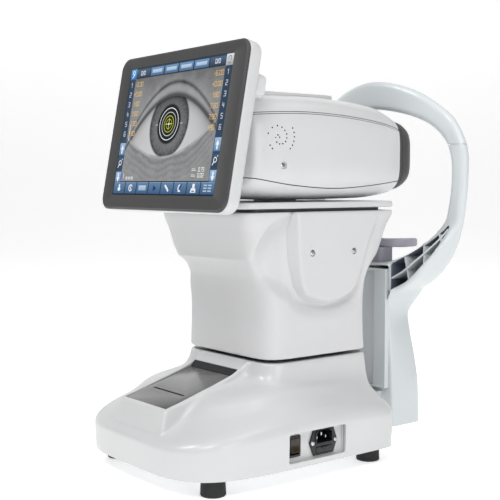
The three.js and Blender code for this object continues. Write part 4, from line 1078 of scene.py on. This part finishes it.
def make_monitor():
    front = loft("monitor_face", monitor_rings([(-8.4, 0.4), (-9.8, 0.4), (-10.6, 0.7), (-11.0, 1.1),
                                                (-11.1, 1.7), (-12.0, 2.7)]), BEZEL, 20)
    hole = rounded_rectangle(SCREEN_WIDTH + 0.8, SCREEN_HEIGHT + 0.8, 1.5, 0, SCREEN_RISE, 6)
    cut(front, prism("gap", hole, -30, 30, "y", BEZEL), sharp=20)
    bevel(front, 0.35, 2, 60, 25)
    monitor_piece(front, "monitor_bezel")
    rows_out = [(-8.1, 0.9), (-7.6, 0.3), (-6.4, 0.05), (-2, 0), (3.5, 0.15), (6.0, 0.9), (8.0, 2.3),
                (9.8, 4.6), (11.2, 8.2), (11.8, 11.0), (12.0, 15)]
    rear = loft("monitor_back", monitor_rings(rows_out), WHITE, 30)
    inner = loft("gap", monitor_rings([(-12, 3), (4, 3), (6.5, 5), (9, 13)], 6), WHITE)
    cut(rear, inner)
    for row in range(9):
        for side in (-1, 1):
            outline = rounded_rectangle(56, 1.6, 0.79, side * 62, -46 - 3.4 * row, 5)
            cut(rear, prism("gap", outline, 8, 14, "y", WHITE))
    pivot_y, pivot_z = pivot_place()
    for x0, x1 in ((-21.4, -8), (8, 21.4)):
        turn = np.radians(range(0, 181, 12))
        eye = [(pivot_y + 6.9 * math.sin(a), pivot_z - 6.9 * math.cos(a)) for a in turn]
        lug = [(pivot_y - 9.4, pivot_z - 7)] + eye + [(pivot_y - 9.4, pivot_z + 7)]
        arm = prism("lug", lug, x0, x1, "x", WHITE, 0.8)
        cut_bore(arm, 3.06, 30, (0, pivot_y, pivot_z), "x", 32)
        cut(rear, arm, "UNION")
    bevel(rear, 0.4, 2, 60)
    monitor_piece(rear, "monitor_rear_shell")
    groove = loft("monitor_gasket", monitor_rings([(-8.38, 1.4), (-8.12, 1.4)]), RUBBER)
    monitor_piece(groove)
    boss_rings = []
    for depth, shrink in ((12.3, 0), (22, 0.3), (24.3, 1.0), (25.6, 2.4), (26.0, 4.2)):
        flat = rounded_rectangle(30 - 2 * shrink, 26 - 2 * shrink, max(1.5, 7 - shrink), 108, 50, 8)
        boss_rings.append(np.insert(flat, 1, depth, axis=1))
    boss = loft("monitor_boss", boss_rings, SHELL, 30)
    for offset in (-6, 0, 6):
        cut(boss, prism("gap", rounded_rectangle(2, 14, 0.9, 108 + offset, 50, 5), 24.6, 30, "y", SHELL),
            sharp=30)
    monitor_piece(boss, "monitor_rear_boss")
    make_screen()


def pivot_place():
    """The hinge axis in monitor coordinates, as Y and Z."""
    y, z = MONITOR_HINGE[0] - MONITOR_CENTRE[1], MONITOR_HINGE[1] - MONITOR_CENTRE[2]
    c, s = math.cos(MONITOR_TILT), math.sin(MONITOR_TILT)
    return y * c - z * s, y * s + z * c


# ---------------------------------------------------------------- picture on the screen
def screen_material(name):
    material = bpy.data.materials.new(name)
    material.use_nodes = True
    nodes, links = material.node_tree.nodes, material.node_tree.links
    shader = nodes["Principled BSDF"]
    shader.inputs["Base Color"].default_value = (0.004, 0.005, 0.007, 1)
    shader.inputs["Specular IOR Level"].default_value = 0.25
    shader.inputs["Emission Strength"].default_value = 1.0
    shader.inputs["Roughness"].default_value = 0.3
    tint = nodes.new("ShaderNodeVertexColor")
    tint.layer_name = "tint"
    lines = nodes.new("ShaderNodeTexWave")
    lines.inputs["Scale"].default_value = 900
    lines.bands_direction = "Z"
    place = nodes.new("ShaderNodeTexCoord")
    links.new(place.outputs["Object"], lines.inputs["Vector"])
    shade_range = nodes.new("ShaderNodeMapRange")
    shade_range.inputs["To Min"].default_value = 0.96
    links.new(lines.outputs["Fac"], shade_range.inputs["Value"])
    mixed = nodes.new("ShaderNodeMix")
    mixed.data_type = "RGBA"
    mixed.blend_type = "MULTIPLY"
    mixed.inputs["Factor"].default_value = 1.0
    links.new(tint.outputs["Color"], mixed.inputs["A"])
    links.new(shade_range.outputs["Result"], mixed.inputs["B"])
    links.new(mixed.outputs["Result"], shader.inputs["Emission Color"])
    return material


def value_noise(u, v, scale, seed):
    """Smooth random values from 0 to 1 over a plane."""
    rows = np.random.default_rng(seed).random((64, 64))
    a, b = u / scale + 400.0, v / scale + 400.0
    i, j = np.floor(a).astype(int), np.floor(b).astype(int)
    s, t = ease(a - i), ease(b - j)
    i0, i1, j0, j1 = i % 64, (i + 1) % 64, j % 64, (j + 1) % 64
    near = rows[i0, j0] * (1 - s) + rows[i1, j0] * s
    far = rows[i0, j1] * (1 - s) + rows[i1, j1] * s
    return near * (1 - t) + far * t


def eye_tone(u, v):
    """Brightness of a generic grey eye: textbook almond opening, round iris, dark pupil, lids and lashes."""
    u, v = u + 3.0, v - 5.0
    grain = value_noise(u, v, 1.3, 1) - 0.5
    soft = value_noise(u, v, 9, 2) - 0.5
    skin = 0.30 + 0.05 * soft + 0.045 * grain - 0.0011 * np.maximum(v - 30, 0) ** 1.3
    upper = 33 - 0.0062 * (u - 4) ** 2 + 0.00001 * u ** 3
    lower = -38 + 0.0040 * (u + 6) ** 2
    fold = upper + 17 - 0.0009 * u ** 2
    skin = skin - 0.20 * np.exp(-((v - fold) / 2.6) ** 2) + 0.07 * np.exp(-((v - fold + 8) / 6) ** 2)
    skin = skin - 0.05 * ease((v - fold) / 14)
    under = lower - v
    wrinkle = 0.05 * np.sin(under * 0.75 + 1.6 * np.sin(u * 0.09) + 3 * soft)
    wrinkle = wrinkle * np.exp(-under / 26) * (under > 0)
    skin = skin + wrinkle + np.where(under > 0, -0.03, 0)
    sclera = 0.60 - 0.00002 * np.abs(u) ** 2.0 + 0.03 * soft
    sclera = sclera - 0.36 * np.exp(-np.maximum(upper - v, 0) / 8)
    radius = np.hypot(u, v)
    angle = np.arctan2(v, u)
    fibre = value_noise(angle * 26, radius * 0.35, 1.0, 3) - 0.5
    iris = 0.115 + 0.07 * fibre + 0.05 * np.exp(-((radius - 27) / 5) ** 2) - 0.07 * ease((radius - 33) / 7)
    iris = iris * (1 - 0.55 * np.exp(-np.maximum(upper - v, 0) / 12))
    pupil = 0.004
    edge = ease((radius - 38.5) / 3)
    hole = ease((radius - 22.5) / 2.2)
    eye = edge * sclera + (1 - edge) * (hole * iris + (1 - hole) * pupil)
    inside = ease((upper - v + 1.2) / 2.4) * ease((v - lower + 1.2) / 2.4)
    tone = inside * eye + (1 - inside) * skin
    lash_line = np.exp(-((v - upper - 1.5) / 3.4) ** 2)
    lashes = np.exp(-np.maximum(v - upper, 0) / 7) * (v > upper - 2)
    lashes = lashes * (0.55 + 0.45 * np.sin(u * 1.5 + 0.05 * (v - upper) * u))
    tone = tone * (1 - 0.72 * lash_line) * (1 - 0.45 * lashes)
    rim = np.exp(-((v - lower + 1.5) / 1.8) ** 2)
    tone = tone + 0.10 * rim * (1 - inside)
    low_lash = np.exp(-np.maximum(under - 3, 0) / 9) * (under > 3)
    low_lash = low_lash * np.clip(np.sin((u + 0.4 * under * np.sign(u)) * 0.9 + soft * 4), 0.55, 1)
    tone = tone * (1 - 0.25 * low_lash)
    return np.clip(tone, 0.002, 0.8)


class Sheet:
    """Flat coloured patches that lie on the screen."""

    def __init__(self):
        self.points, self.faces, self.colours = [], [], []

    def patch(self, outline, colour, level=1):
        start = len(self.points)
        self.points += [(u, SCREEN_FACE - 0.012 * level, v + SCREEN_RISE) for u, v in outline]
        self.faces.append(tuple(range(start, start + len(outline))))
        self.colours.append(colour)

    def cell(self, u, v, width, height, colour, level=1):
        w, h = width / 2, height / 2
        self.patch([(u - w, v - h), (u + w, v - h), (u + w, v + h), (u - w, v + h)], colour, level)

    def shaded_cell(self, u, v, width, height, top, bottom, level=1, bands=6):
        """A button whose colour runs from top to bottom."""
        for i in range(bands):
            t = (i + 0.5) / bands
            colour = [a + (b - a) * t for a, b in zip(top, bottom)]
            self.cell(u, v + height / 2 - height * t, width, height / bands + 0.01, colour, level)

    def ring(self, u, v, radius, width, colour, level=2, start=0, end=360):
        steps = max(4, int((end - start) / 7))
        angles = np.radians(np.linspace(start, end, steps + 1))
        for a, b in zip(angles[:-1], angles[1:]):
            self.patch([(u + r * math.cos(t), v + r * math.sin(t)) for r, t in
                        ((radius - width / 2, a), (radius + width / 2, a), (radius + width / 2, b),
                         (radius - width / 2, b))],
                       colour, level)

    def disc(self, u, v, radius, colour, level=2, stretch=1.0):
        angles = np.linspace(0, 2 * math.pi, 20, endpoint=False)
        self.patch([(u + radius * math.cos(t), v + stretch * radius * math.sin(t)) for t in angles],
                   colour, level)

    def stroke(self, points, width, colour, level=3):
        for (u0, v0), (u1, v1) in zip(points[:-1], points[1:]):
            length = math.hypot(u1 - u0, v1 - v0)
            du, dv = (u1 - u0) / length, (v1 - v0) / length
            e = width / 2
            self.patch([(u0 - du * e - dv * e, v0 - dv * e + du * e),
                        (u0 - du * e + dv * e, v0 - dv * e - du * e),
                        (u1 + du * e + dv * e, v1 + dv * e - du * e),
                        (u1 + du * e - dv * e, v1 + dv * e + du * e)],
                       colour, level)

    def number(self, text, u, v, height, colour, level=3, thick=0.13):
        """A number in plain strokes, centred on u."""
        step = 0.86 * height
        narrow = {".": 0.36, "-": 0.7, "+": 0.8, "/": 0.6}
        widths = [step * narrow.get(c, 1.0) for c in text]
        place = u - sum(widths) / 2
        for mark, width in zip(text, widths):
            for line in STROKES[mark]:
                points = [(place + (0.1 + 0.62 * a) * min(width, step) / 0.82 * 0.9, v + (b - 0.5) * height)
                          for a, b in line]
                self.stroke(points, thick * height, colour, level)
            place += width

    def build(self, name, material):
        piece = new_object(name, self.points, self.faces, material)
        piece.data.shade_flat()
        layer = piece.data.color_attributes.new("tint", "FLOAT_COLOR", "CORNER")
        values = []
        for face, colour in zip(self.faces, self.colours):
            values += [(*colour, 1.0)] * len(face)
        layer.data.foreach_set("color", np.array(values, np.float32).ravel())
        return piece


STROKES = {
    "0": [[(0, 0), (0, 1), (1, 1), (1, 0), (0, 0)]], "1": [[(0.2, 0.8), (0.6, 1), (0.6, 0)]],
    "2": [[(0, 1), (1, 1), (1, 0.55), (0, 0.4), (0, 0), (1, 0)]],
    "3": [[(0, 1), (1, 1), (1, 0), (0, 0)], [(0.3, 0.5), (1, 0.5)]],
    "4": [[(0.1, 1), (0, 0.4), (1, 0.4)], [(0.8, 0.8), (0.8, 0)]],
    "5": [[(1, 1), (0, 1), (0, 0.55), (1, 0.5), (1, 0), (0, 0)]],
    "6": [[(1, 1), (0, 1), (0, 0), (1, 0), (1, 0.5), (0, 0.5)]], "7": [[(0, 1), (1, 1), (0.4, 0)]],
    "8": [[(0, 0), (0, 1), (1, 1), (1, 0), (0, 0)], [(0, 0.5), (1, 0.5)]],
    "9": [[(0, 0), (1, 0), (1, 1), (0, 1), (0, 0.5), (1, 0.5)]], ".": [[(0.1, 0.0), (0.3, 0.0)]],
    "-": [[(0, 0.5), (0.8, 0.5)]], "+": [[(0, 0.5), (0.8, 0.5)], [(0.4, 0.25), (0.4, 0.75)]],
    "/": [[(0, 0), (0.8, 1)]],
}
NAVY, DEEP, SKY, PALE = (0.022, 0.045, 0.085), (0.008, 0.016, 0.032), (0.10, 0.22, 0.42), (0.36, 0.50, 0.72)
BRIGHT, INK, GOLD, YELLOW = (0.86, 0.90, 0.96), (0.004, 0.006, 0.012), (0.78, 0.50, 0.17), (0.55, 0.58, 0.03)


def make_screen():
    steps = ((420, 315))
    us = np.linspace(-SCREEN_WIDTH / 2, SCREEN_WIDTH / 2, steps[0])
    vs = np.linspace(-SCREEN_HEIGHT / 2, SCREEN_HEIGHT / 2, steps[1])
    u, v = np.meshgrid(us, vs, indexing="ij")
    front = np.stack([u, np.full(u.shape, SCREEN_FACE), v + SCREEN_RISE], -1).reshape(-1, 3)
    index = np.arange(u.size).reshape(u.shape)
    quads = np.stack([index[:-1, :-1], index[1:, :-1], index[1:, 1:], index[:-1, 1:]], -1).reshape(-1, 4)
    picture = screen_material("screen_picture")
    panel = new_object("display_picture", front, quads, picture)
    tone = eye_tone(u, v).ravel()
    layer = panel.data.color_attributes.new("tint", "FLOAT_COLOR", "POINT")
    colours = np.stack([tone, tone, tone * 1.01, np.ones_like(tone)], 1)
    layer.data.foreach_set("color", colours.astype(np.float32).ravel())
    monitor_piece(panel, "display_panel")
    back = prism("display_housing", rounded_rectangle(SCREEN_WIDTH, SCREEN_HEIGHT, 1, 0, SCREEN_RISE, 5),
                 -11.15, -8.45, "y", BLACK, 0.3)
    monitor_piece(back)
    sheet = Sheet()
    draw_columns(sheet)
    draw_bars(sheet)
    draw_target(sheet)
    monitor_piece(sheet.build("display_marks", screen_material("screen_marks")))


def draw_columns(sheet):
    half_u, half_v = SCREEN_WIDTH / 2, SCREEN_HEIGHT / 2
    for side, first in ((-1, "-0.00"), (1, "-6.00")):
        centre = side * (half_u - 6.6)
        sheet.shaded_cell(centre, 0, 13.2, SCREEN_HEIGHT, NAVY, (0.03, 0.07, 0.12), 1, 12)
        sheet.cell(side * (half_u - 13.4), 6, 0.5, SCREEN_HEIGHT - 34, (0.10, 0.16, 0.24), 2)
        for i, value in enumerate([first, "+0.00", "180", "7.80", "7.90", "180"]):
            v = half_v - 20.5 - 12.3 * i
            sheet.cell(centre, v, 11.4, 10.9, (0.028, 0.05, 0.085), 2)
            sheet.number(str(i + 1), centre, v, 5.4, (0.62, 0.66, 0.72), 3, 0.15)
            sheet.number(value, side * (half_u - 23.5), v, 5.2, GOLD, 3, 0.13)
        for v, way in ((half_v - 101, 1), (half_v - 119, 0), (half_v - 137, -1)):
            top, bottom = (PALE, SKY) if way else ((0.05, 0.09, 0.15), NAVY)
            sheet.shaded_cell(centre, v, 11.6, 15, top, bottom, 2)
            if way:
                arrow = [(centre - 3.4, v - 0.5 * way), (centre + 3.4, v - 0.5 * way), (centre, v + 5 * way)]
                sheet.patch(arrow if way > 0 else [arrow[0], arrow[2], arrow[1]], BRIGHT, 3)
                sheet.cell(centre, v - 3 * way, 2.6, 5.4, BRIGHT, 3)
            else:
                sheet.ring(centre, v + 0.8, 2.7, 1.1, BRIGHT, 3)
                sheet.stroke([(centre - 1.8, v - 1.6), (centre - 4, v - 4.6)], 1.3, BRIGHT, 3)
                sheet.disc(centre + 3.8, v + 5, 0.8, BRIGHT, 3)


def draw_bars(sheet):
    half_u, half_v = SCREEN_WIDTH / 2, SCREEN_HEIGHT / 2
    sheet.shaded_cell(0, half_v - 6.6, SCREEN_WIDTH, 13.2, (0.03, 0.055, 0.10), DEEP, 2, 5)
    sheet.shaded_cell(-half_u + 7, half_v - 7, 13, 13, (0.12, 0.36, 0.68), (0.02, 0.16, 0.42), 3)
    sheet.ring(-half_u + 7, half_v - 5, 2.1, 1.2, BRIGHT, 4)
    sheet.stroke([(-half_u + 5, half_v - 11), (-half_u + 9, half_v - 7.6)], 1.3, BRIGHT, 4)
    sheet.shaded_cell(half_u - 7, half_v - 7, 13, 13, (0.75, 0.78, 0.80), (0.34, 0.36, 0.38), 3)
    sheet.ring(half_u - 7, half_v - 5.5, 2.6, 0.9, (0.12, 0.13, 0.14), 4, -60, 200)
    sheet.stroke([(half_u - 8.6, half_v - 10.6), (half_u - 5, half_v - 10.6)], 1.1, (0.2, 0.2, 0.22), 4)
    for side in (-1, 1):
        sheet.shaded_cell(side * 77, half_v - 6.8, 30, 10, (0.08, 0.13, 0.2), NAVY, 3)
        sheet.number("0/0", side * 77, half_v - 6.8, 4.6, BRIGHT, 4, 0.16)
    for i in range(4):
        u = -45.8 + 30.5 * i
        sheet.shaded_cell(u, half_v - 6.8, 28, 10, (0.16, 0.30, 0.50), (0.07, 0.15, 0.28), 3)
        sheet.shaded_cell(u, half_v - 6.6, 21, 4.2, (0.55, 0.66, 0.80), (0.34, 0.46, 0.62), 4)
    bottom = -half_v + 8.2
    sheet.shaded_cell(0, bottom, SCREEN_WIDTH, 16.4, (0.012, 0.03, 0.06), DEEP, 2, 5)
    step = SCREEN_WIDTH / 8
    for i in range(8):
        u = -half_u + step * (i + 0.5)
        sheet.shaded_cell(u, bottom, step - 1.6, 13.6, (0.12, 0.22, 0.36), (0.035, 0.10, 0.22), 3)
        sheet.cell(u, bottom + 6.5, step - 2.2, 0.5, (0.3, 0.45, 0.65), 4)
        draw_icon(sheet, i, u, bottom)
    u0 = -half_u + 15
    for i, colour in enumerate([(0.12, 0.14, 0.62), (0.18, 0.2, 0.75), (0.62, 0.72, 0.1)]):
        sheet.cell(u0 + 2.2 * i, -half_v + 22.5 + 0.3 * i, 1.7, 8 - 0.8 * i, colour, 3)
    for i in range(3):
        sheet.number("00", u0 + 12 + 6.2 * i, -half_v + 20.3, 2.6, BRIGHT, 3, 0.2)
    for row, value in enumerate(("0.75", "0.02")):
        sheet.cell(half_u - 44, -half_v + 28.4 - 6.6 * row, 8.5, 1.1, (0.7, 0.7, 0.7), 3)
        sheet.cell(half_u - 45, -half_v + 30.3 - 6.6 * row, 6.5, 0.8, (0.6, 0.6, 0.6), 3)
        sheet.number(value, half_u - 29.5, -half_v + 29.2 - 6.6 * row, 4.2, (0.8, 0.8, 0.8), 3, 0.18)
    sheet.cell(-half_u + 17.5, -2, 0.7, 21, (0.95, 0.95, 0.95), 3)


def draw_icon(sheet, kind, u, v):
    """Plain white symbols for the eight buttons."""
    if kind == 0:
        sheet.disc(u, v - 1.4, 3.1, BRIGHT, 5, 0.8)
        sheet.disc(u, v + 2.8, 1.8, BRIGHT, 5)
    elif kind == 1:
        sheet.ring(u, v, 3.7, 1.3, BRIGHT, 5, 20, 330)
        sheet.stroke([(u - 1.4, v + 1.4), (u + 1.6, v - 1.6)], 1.4, BRIGHT, 5)
    elif kind == 2:
        sheet.shaded_cell(u, v, 16, 6, (0.52, 0.62, 0.76), (0.3, 0.42, 0.58), 5)
    elif kind == 3:
        sheet.patch([(u - 2.6, v - 4.2), (u + 4.4, v - 0.6), (u - 2.6, v + 3.4)], (0.01, 0.03, 0.16), 5)
    elif kind == 4:
        sheet.stroke([(u - 3.6, v + 2.6), (u + 0.4, v - 0.6), (u + 2.6, v - 2.8)], 2.6, BRIGHT, 5)
    elif kind == 5:
        sheet.ring(u, v, 3.4, 1.8, BRIGHT, 5, 70, 290)
        sheet.patch([(u + 0.4, v + 4.4), (u + 3.4, v + 4.6), (u + 0.8, v - 1), (u - 0.6, v + 1)],
                    (0.03, 0.02, 0.12), 6)
        sheet.patch([(u - 4.8, v - 4.4), (u + 1.4, v - 4.4), (u + 1.4, v - 3)], BRIGHT, 5)
    elif kind == 6:
        sheet.cell(u, v + 2.6, 4.4, 4.6, BRIGHT, 5)
        sheet.patch([(u - 5.4, v - 5), (u + 5.4, v - 5), (u + 4.0, v), (u - 4.0, v)], BRIGHT, 5)
        sheet.cell(u, v - 3.4, 5.4, 1.2, INK, 6)
    else:
        for row in (-1, 0, 1):
            for column in (-1, 1):
                sheet.cell(u + 4.2 * column, v + 3.2 * row, 6.4, 1.5, (0.46, 0.57, 0.72), 5)


def draw_target(sheet):
    u, v = -3.0, 5.0
    for radius, width, colour in ((19, 0.95, BRIGHT), (14, 0.85, (0.6, 0.66, 0.6)), (9.6, 0.9, YELLOW),
                                  (5.6, 0.7, YELLOW)):
        sheet.ring(u, v, radius, width, colour, 3)
    sheet.stroke([(u - 6.6, v), (u + 6.6, v)], 0.8, (0.75, 0.8, 0.1), 4)
    sheet.stroke([(u, v - 6.6), (u, v + 6.6)], 0.8, (0.75, 0.8, 0.1), 4)
    for side in (-1, 1):
        sheet.stroke([(u + side * 23.5, v), (u + side * 27.5, v)], 0.6, (0.8, 0.8, 0.7), 3)
    sheet.disc(u, v, 1.4, BRIGHT, 5)


# ---------------------------------------------------------------- small parts on the base
def make_feet():
    for name, x, y in (("foot_front_left", -100, -172), ("foot_front_right", 100, -172),
                       ("foot_rear_left", -103, 64), ("foot_rear_right", 103, 64)):
        profile = [(9.6, 0.0), (10.4, 0.9), (11.2, 0.9), (12, 0.0), (12.9, 0.0), (14.0, 0.5), (14.5, 1.6),
                   (14.35, 4.2), (14.1, 4.6), (14.1, 5.4), (14.3, 5.8), (13.9, 13.0), (13.6, 16.2),
                   (13.2, 16.8), (13.2, 20.5)]
        foot = turned(name + "_rubber", profile, (x, y, 0), "z", RUBBER, 72, 25)
        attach(foot, "base")
        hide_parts(name)


INLET_Y, INLET_Z, INLET_FACE = -34.0, 44.0, 129.0
SWITCH_Y, SWITCH_Z, SWITCH_PIVOT = -78.5, 44.5, 120.0
ROCKER_MARK = 5.0  # how far the key's two marks are from its middle
ROCKER_REST = -8  # the key's tilt at rest, in degrees


def make_connectors():
    panel = prism("connector_tray", rounded_rectangle(91.2, 38.2, 4.5, -47.5, 44, 8), 124, 130.2, "x",
                  WHITE, 0.9)
    cut(panel, prism("gap", rounded_rectangle(87, 34, 3.0, -47.5, 44, 8), 126.5, 140, "x", WHITE))
    cut_box(panel, (110, INLET_Y - 14.5, 29), (140, INLET_Y + 14.5, 59.5))
    cut_box(panel, (110, SWITCH_Y - 8.2, SWITCH_Z - 11), (140, SWITCH_Y + 8.2, SWITCH_Z + 11))
    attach(panel, "base")
    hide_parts("connector_panel")
    flange = [(-21.6, 0), (-15.4, -15.2), (15.4, -15.2), (21.6, 0), (15.4, 15.2), (-15.4, 15.2)]
    inlet = prism("mains_inlet", [(INLET_Y + a, INLET_Z + b) for a, b in flange], 126.8, INLET_FACE, "x",
                  BLACK, 0.7)
    body = block("body", (97, INLET_Y - 14, 29.5), (127.2, INLET_Y + 14, 59), BLACK, 1.0)
    cut(inlet, body, "UNION")
    rim = prism("rim", [(INLET_Y + a, INLET_Z + b + 1) for a, b in
                        ((-13.6, -3.4), (13.6, -3.4), (13.6, 9.6), (8.8, 14.2), (-8.8, 14.2), (-13.6, 9.6))],
                128.5, 130.3, "x", BLACK, 0.5)
    cut(inlet, rim, "UNION")
    socket = [(-12, -2), (12, -2), (12, 9), (8, 13), (-8, 13), (-12, 9)]
    cut(inlet,
        prism("gap", [(INLET_Y + a, INLET_Z + b + 1) for a, b in socket], INLET_FACE - 16, 140, "x", BLACK))
    cut_box(inlet, (INLET_FACE - 26.3, INLET_Y - 12.3, 30.7), (140, INLET_Y + 12.3, 38.8))
    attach(inlet, "base")
    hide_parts("power_inlet")
    for i, (y, z) in enumerate(((INLET_Y - 7, 48), (INLET_Y + 7, 48), (INLET_Y, 52))):
        pin = block(f"inlet_pin_{i}", (INLET_FACE - 16.5, y - 1, z - 2), (INLET_FACE - 4, y + 1, z + 2),
                    STEEL, 0.5)
        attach(pin, "base")
    drawer = block("fuse_holder", (INLET_FACE - 26, INLET_Y - 12, 31),
                   (INLET_FACE + 0.8, INLET_Y + 12, 38.5), BLACK, 0.6)
    grip = block("grip", (INLET_FACE + 0.2, INLET_Y - 4, 35.5), (INLET_FACE + 2, INLET_Y + 4, 38.3),
                 BLACK, 0.6)
    cut(drawer, grip, "UNION")
    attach(drawer, "fuse_drawer")
    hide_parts("fuse_drawer")
    for name, y in (("front", INLET_Y - 17.6), ("rear", INLET_Y + 17.6)):
        screw(f"inlet_screw_head_{name}", (INLET_FACE + 0.9, y, INLET_Z), 1, 2.7, "base",
              f"inlet_screw_{name}")
    frame_part = prism("rocker_bezel", rounded_rectangle(19, 25, 2.0, SWITCH_Y, SWITCH_Z, 6), 126.8,
                       128.6, "x", BLACK, 0.6)
    cut_box(frame_part, (106, SWITCH_Y - 7.9, SWITCH_Z - 10.7), (127.1, SWITCH_Y + 7.9, SWITCH_Z + 10.7),
            "UNION")
    cut_box(frame_part, (109, SWITCH_Y - 7, SWITCH_Z - 9.7), (140, SWITCH_Y + 7, SWITCH_Z + 9.7))
    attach(frame_part, "base")
    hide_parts("rocker_frame")
    profile = [(-5, -4), (6, -7.8), (10.8, -8.1), (10.2, -5), (9.6, -2), (9.5, 0), (9.6, 2), (10.2, 5),
               (10.8, 8.1), (6, 7.8), (-5, 4)]
    key = prism("rocker_key", profile, -6.6, 6.6, "y", ROCKER, 0.5)
    cut_box(key, (9.7, -0.35, ROCKER_MARK - 1.3), (14, 0.35, ROCKER_MARK + 1.3))
    ring = turned("gap", [(1.6, -3), (1.6, 3)], (12, 0, -ROCKER_MARK), "x", ROCKER, 24)
    cut_bore(ring, 1.1, 4, (12, 0, -ROCKER_MARK), "x", 24)
    cut(key, ring)
    key.data.transform(Euler((0, math.radians(ROCKER_REST), 0)).to_matrix().to_4x4())
    key.data.transform(Matrix.Translation([v * MM for v in (SWITCH_PIVOT, SWITCH_Y, SWITCH_Z)]))
    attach(key, "power_rocker")
    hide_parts("power_rocker")


LID_HINGE_Y, PLATEN_Y = -106.0, -161
SLOT_Y, SLOT_HALF, SLOT_WIDTH = -163.6, 31.8, 2.6


def make_printer_lid():
    thick = 3.0
    side = [LID_FRONT, LID_REAR, (LID_REAR[0], LID_REAR[1] - thick), (LID_FRONT[0], LID_FRONT[1] - thick)]
    lid = prism("printer_cover", side, -LID_HALF, LID_HALF, "x", LID, 0.8, 3)
    slot = prism("gap", rounded_rectangle(2 * SLOT_HALF, SLOT_WIDTH, 1.2, 0, SLOT_Y, 6), 80, 120, "z", LID)
    cut(lid, slot)
    cut_bore(lid, 2.2, 20, (0, SLOT_Y, 100), "x", 8)
    hinge_z = lid_top(LID_HINGE_Y) - 6
    platen_z = lid_top(PLATEN_Y) - 10
    for x0, x1, y, z in ((-39, -36, LID_HINGE_Y, hinge_z), (36, 39, LID_HINGE_Y, hinge_z),
                         (-34, -31, PLATEN_Y, platen_z), (31, 34, PLATEN_Y, platen_z)):
        outline = [(y - 4, lid_top(y - 4) - 2), (y + 4, lid_top(y + 4) - 2), (y + 3.5, z - 3.5),
                   (y - 3.5, z - 3.5)]
        cut(lid, prism("ear", outline, x0, x1, "x", LID), "UNION")
    for x0, x1 in ((36.5, 46.2), (-46.2, -36.5)):
        middle, reach = (x0 + x1) / 2, (x1 - x0) / 2
        cut(lid,
            turned("pin", [(1.8, -reach), (1.8, reach)], (middle, LID_HINGE_Y, hinge_z), "x", LID, 24),
            "UNION")
    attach(lid, "printer_lid")
    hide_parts("printer_lid")


ROCKER = surface("rocker_brown_black", (0.028, 0.02, 0.011), 0.3, grain=(1200, 0.05), tint=0.15)
CAD_FINISH = {
    "base_plate": STEEL, "paper_roll": PAPER, "platen_roller": RUBBER, "printer_frame": CHARCOAL,
    "power_supply": ALUMINIUM, "main_board": BOARD, "stage_frame": ALUMINIUM, "x_leadscrew": STEEL,
    "x_motor": BLACK, "x_carriage": ALUMINIUM, "y_leadscrew": STEEL, "y_motor": BLACK,
    "y_stage": ALUMINIUM, "z_motor": BLACK, "z_leadscrew": STEEL, "lift_mast": ALUMINIUM,
    "lift_guide": ALUMINIUM, "optics_unit": BLACK, "monitor_bracket": ALUMINIUM,
    "headrest_bracket": WHITE, "chin_motor": BLACK, "speaker": BLACK,
}


def finish_cad_nodes():
    for name, material in CAD_FINISH.items():
        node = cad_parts[name]
        node.data.materials.clear()
        node.data.materials.append(material)


make_base_cover()
make_printer_lid()
make_connectors()
make_feet()
make_dust_shield()
make_column()
make_deck()
make_head()
make_bezel()
make_headrest()
make_forehead_pad()
make_chin_rest()
make_monitor()
for label, facing in (("right", 1), ("left", -1)):
    for end, (screw_y, screw_z) in zip(("front", "rear"), PAD_SCREWS):
        screw(f"side_screw_head_{label}_{end}", (facing * 91.1, screw_y, screw_z), facing, 3.2, "column",
              f"side_screw_{label}_{end}")
finish_cad_nodes()
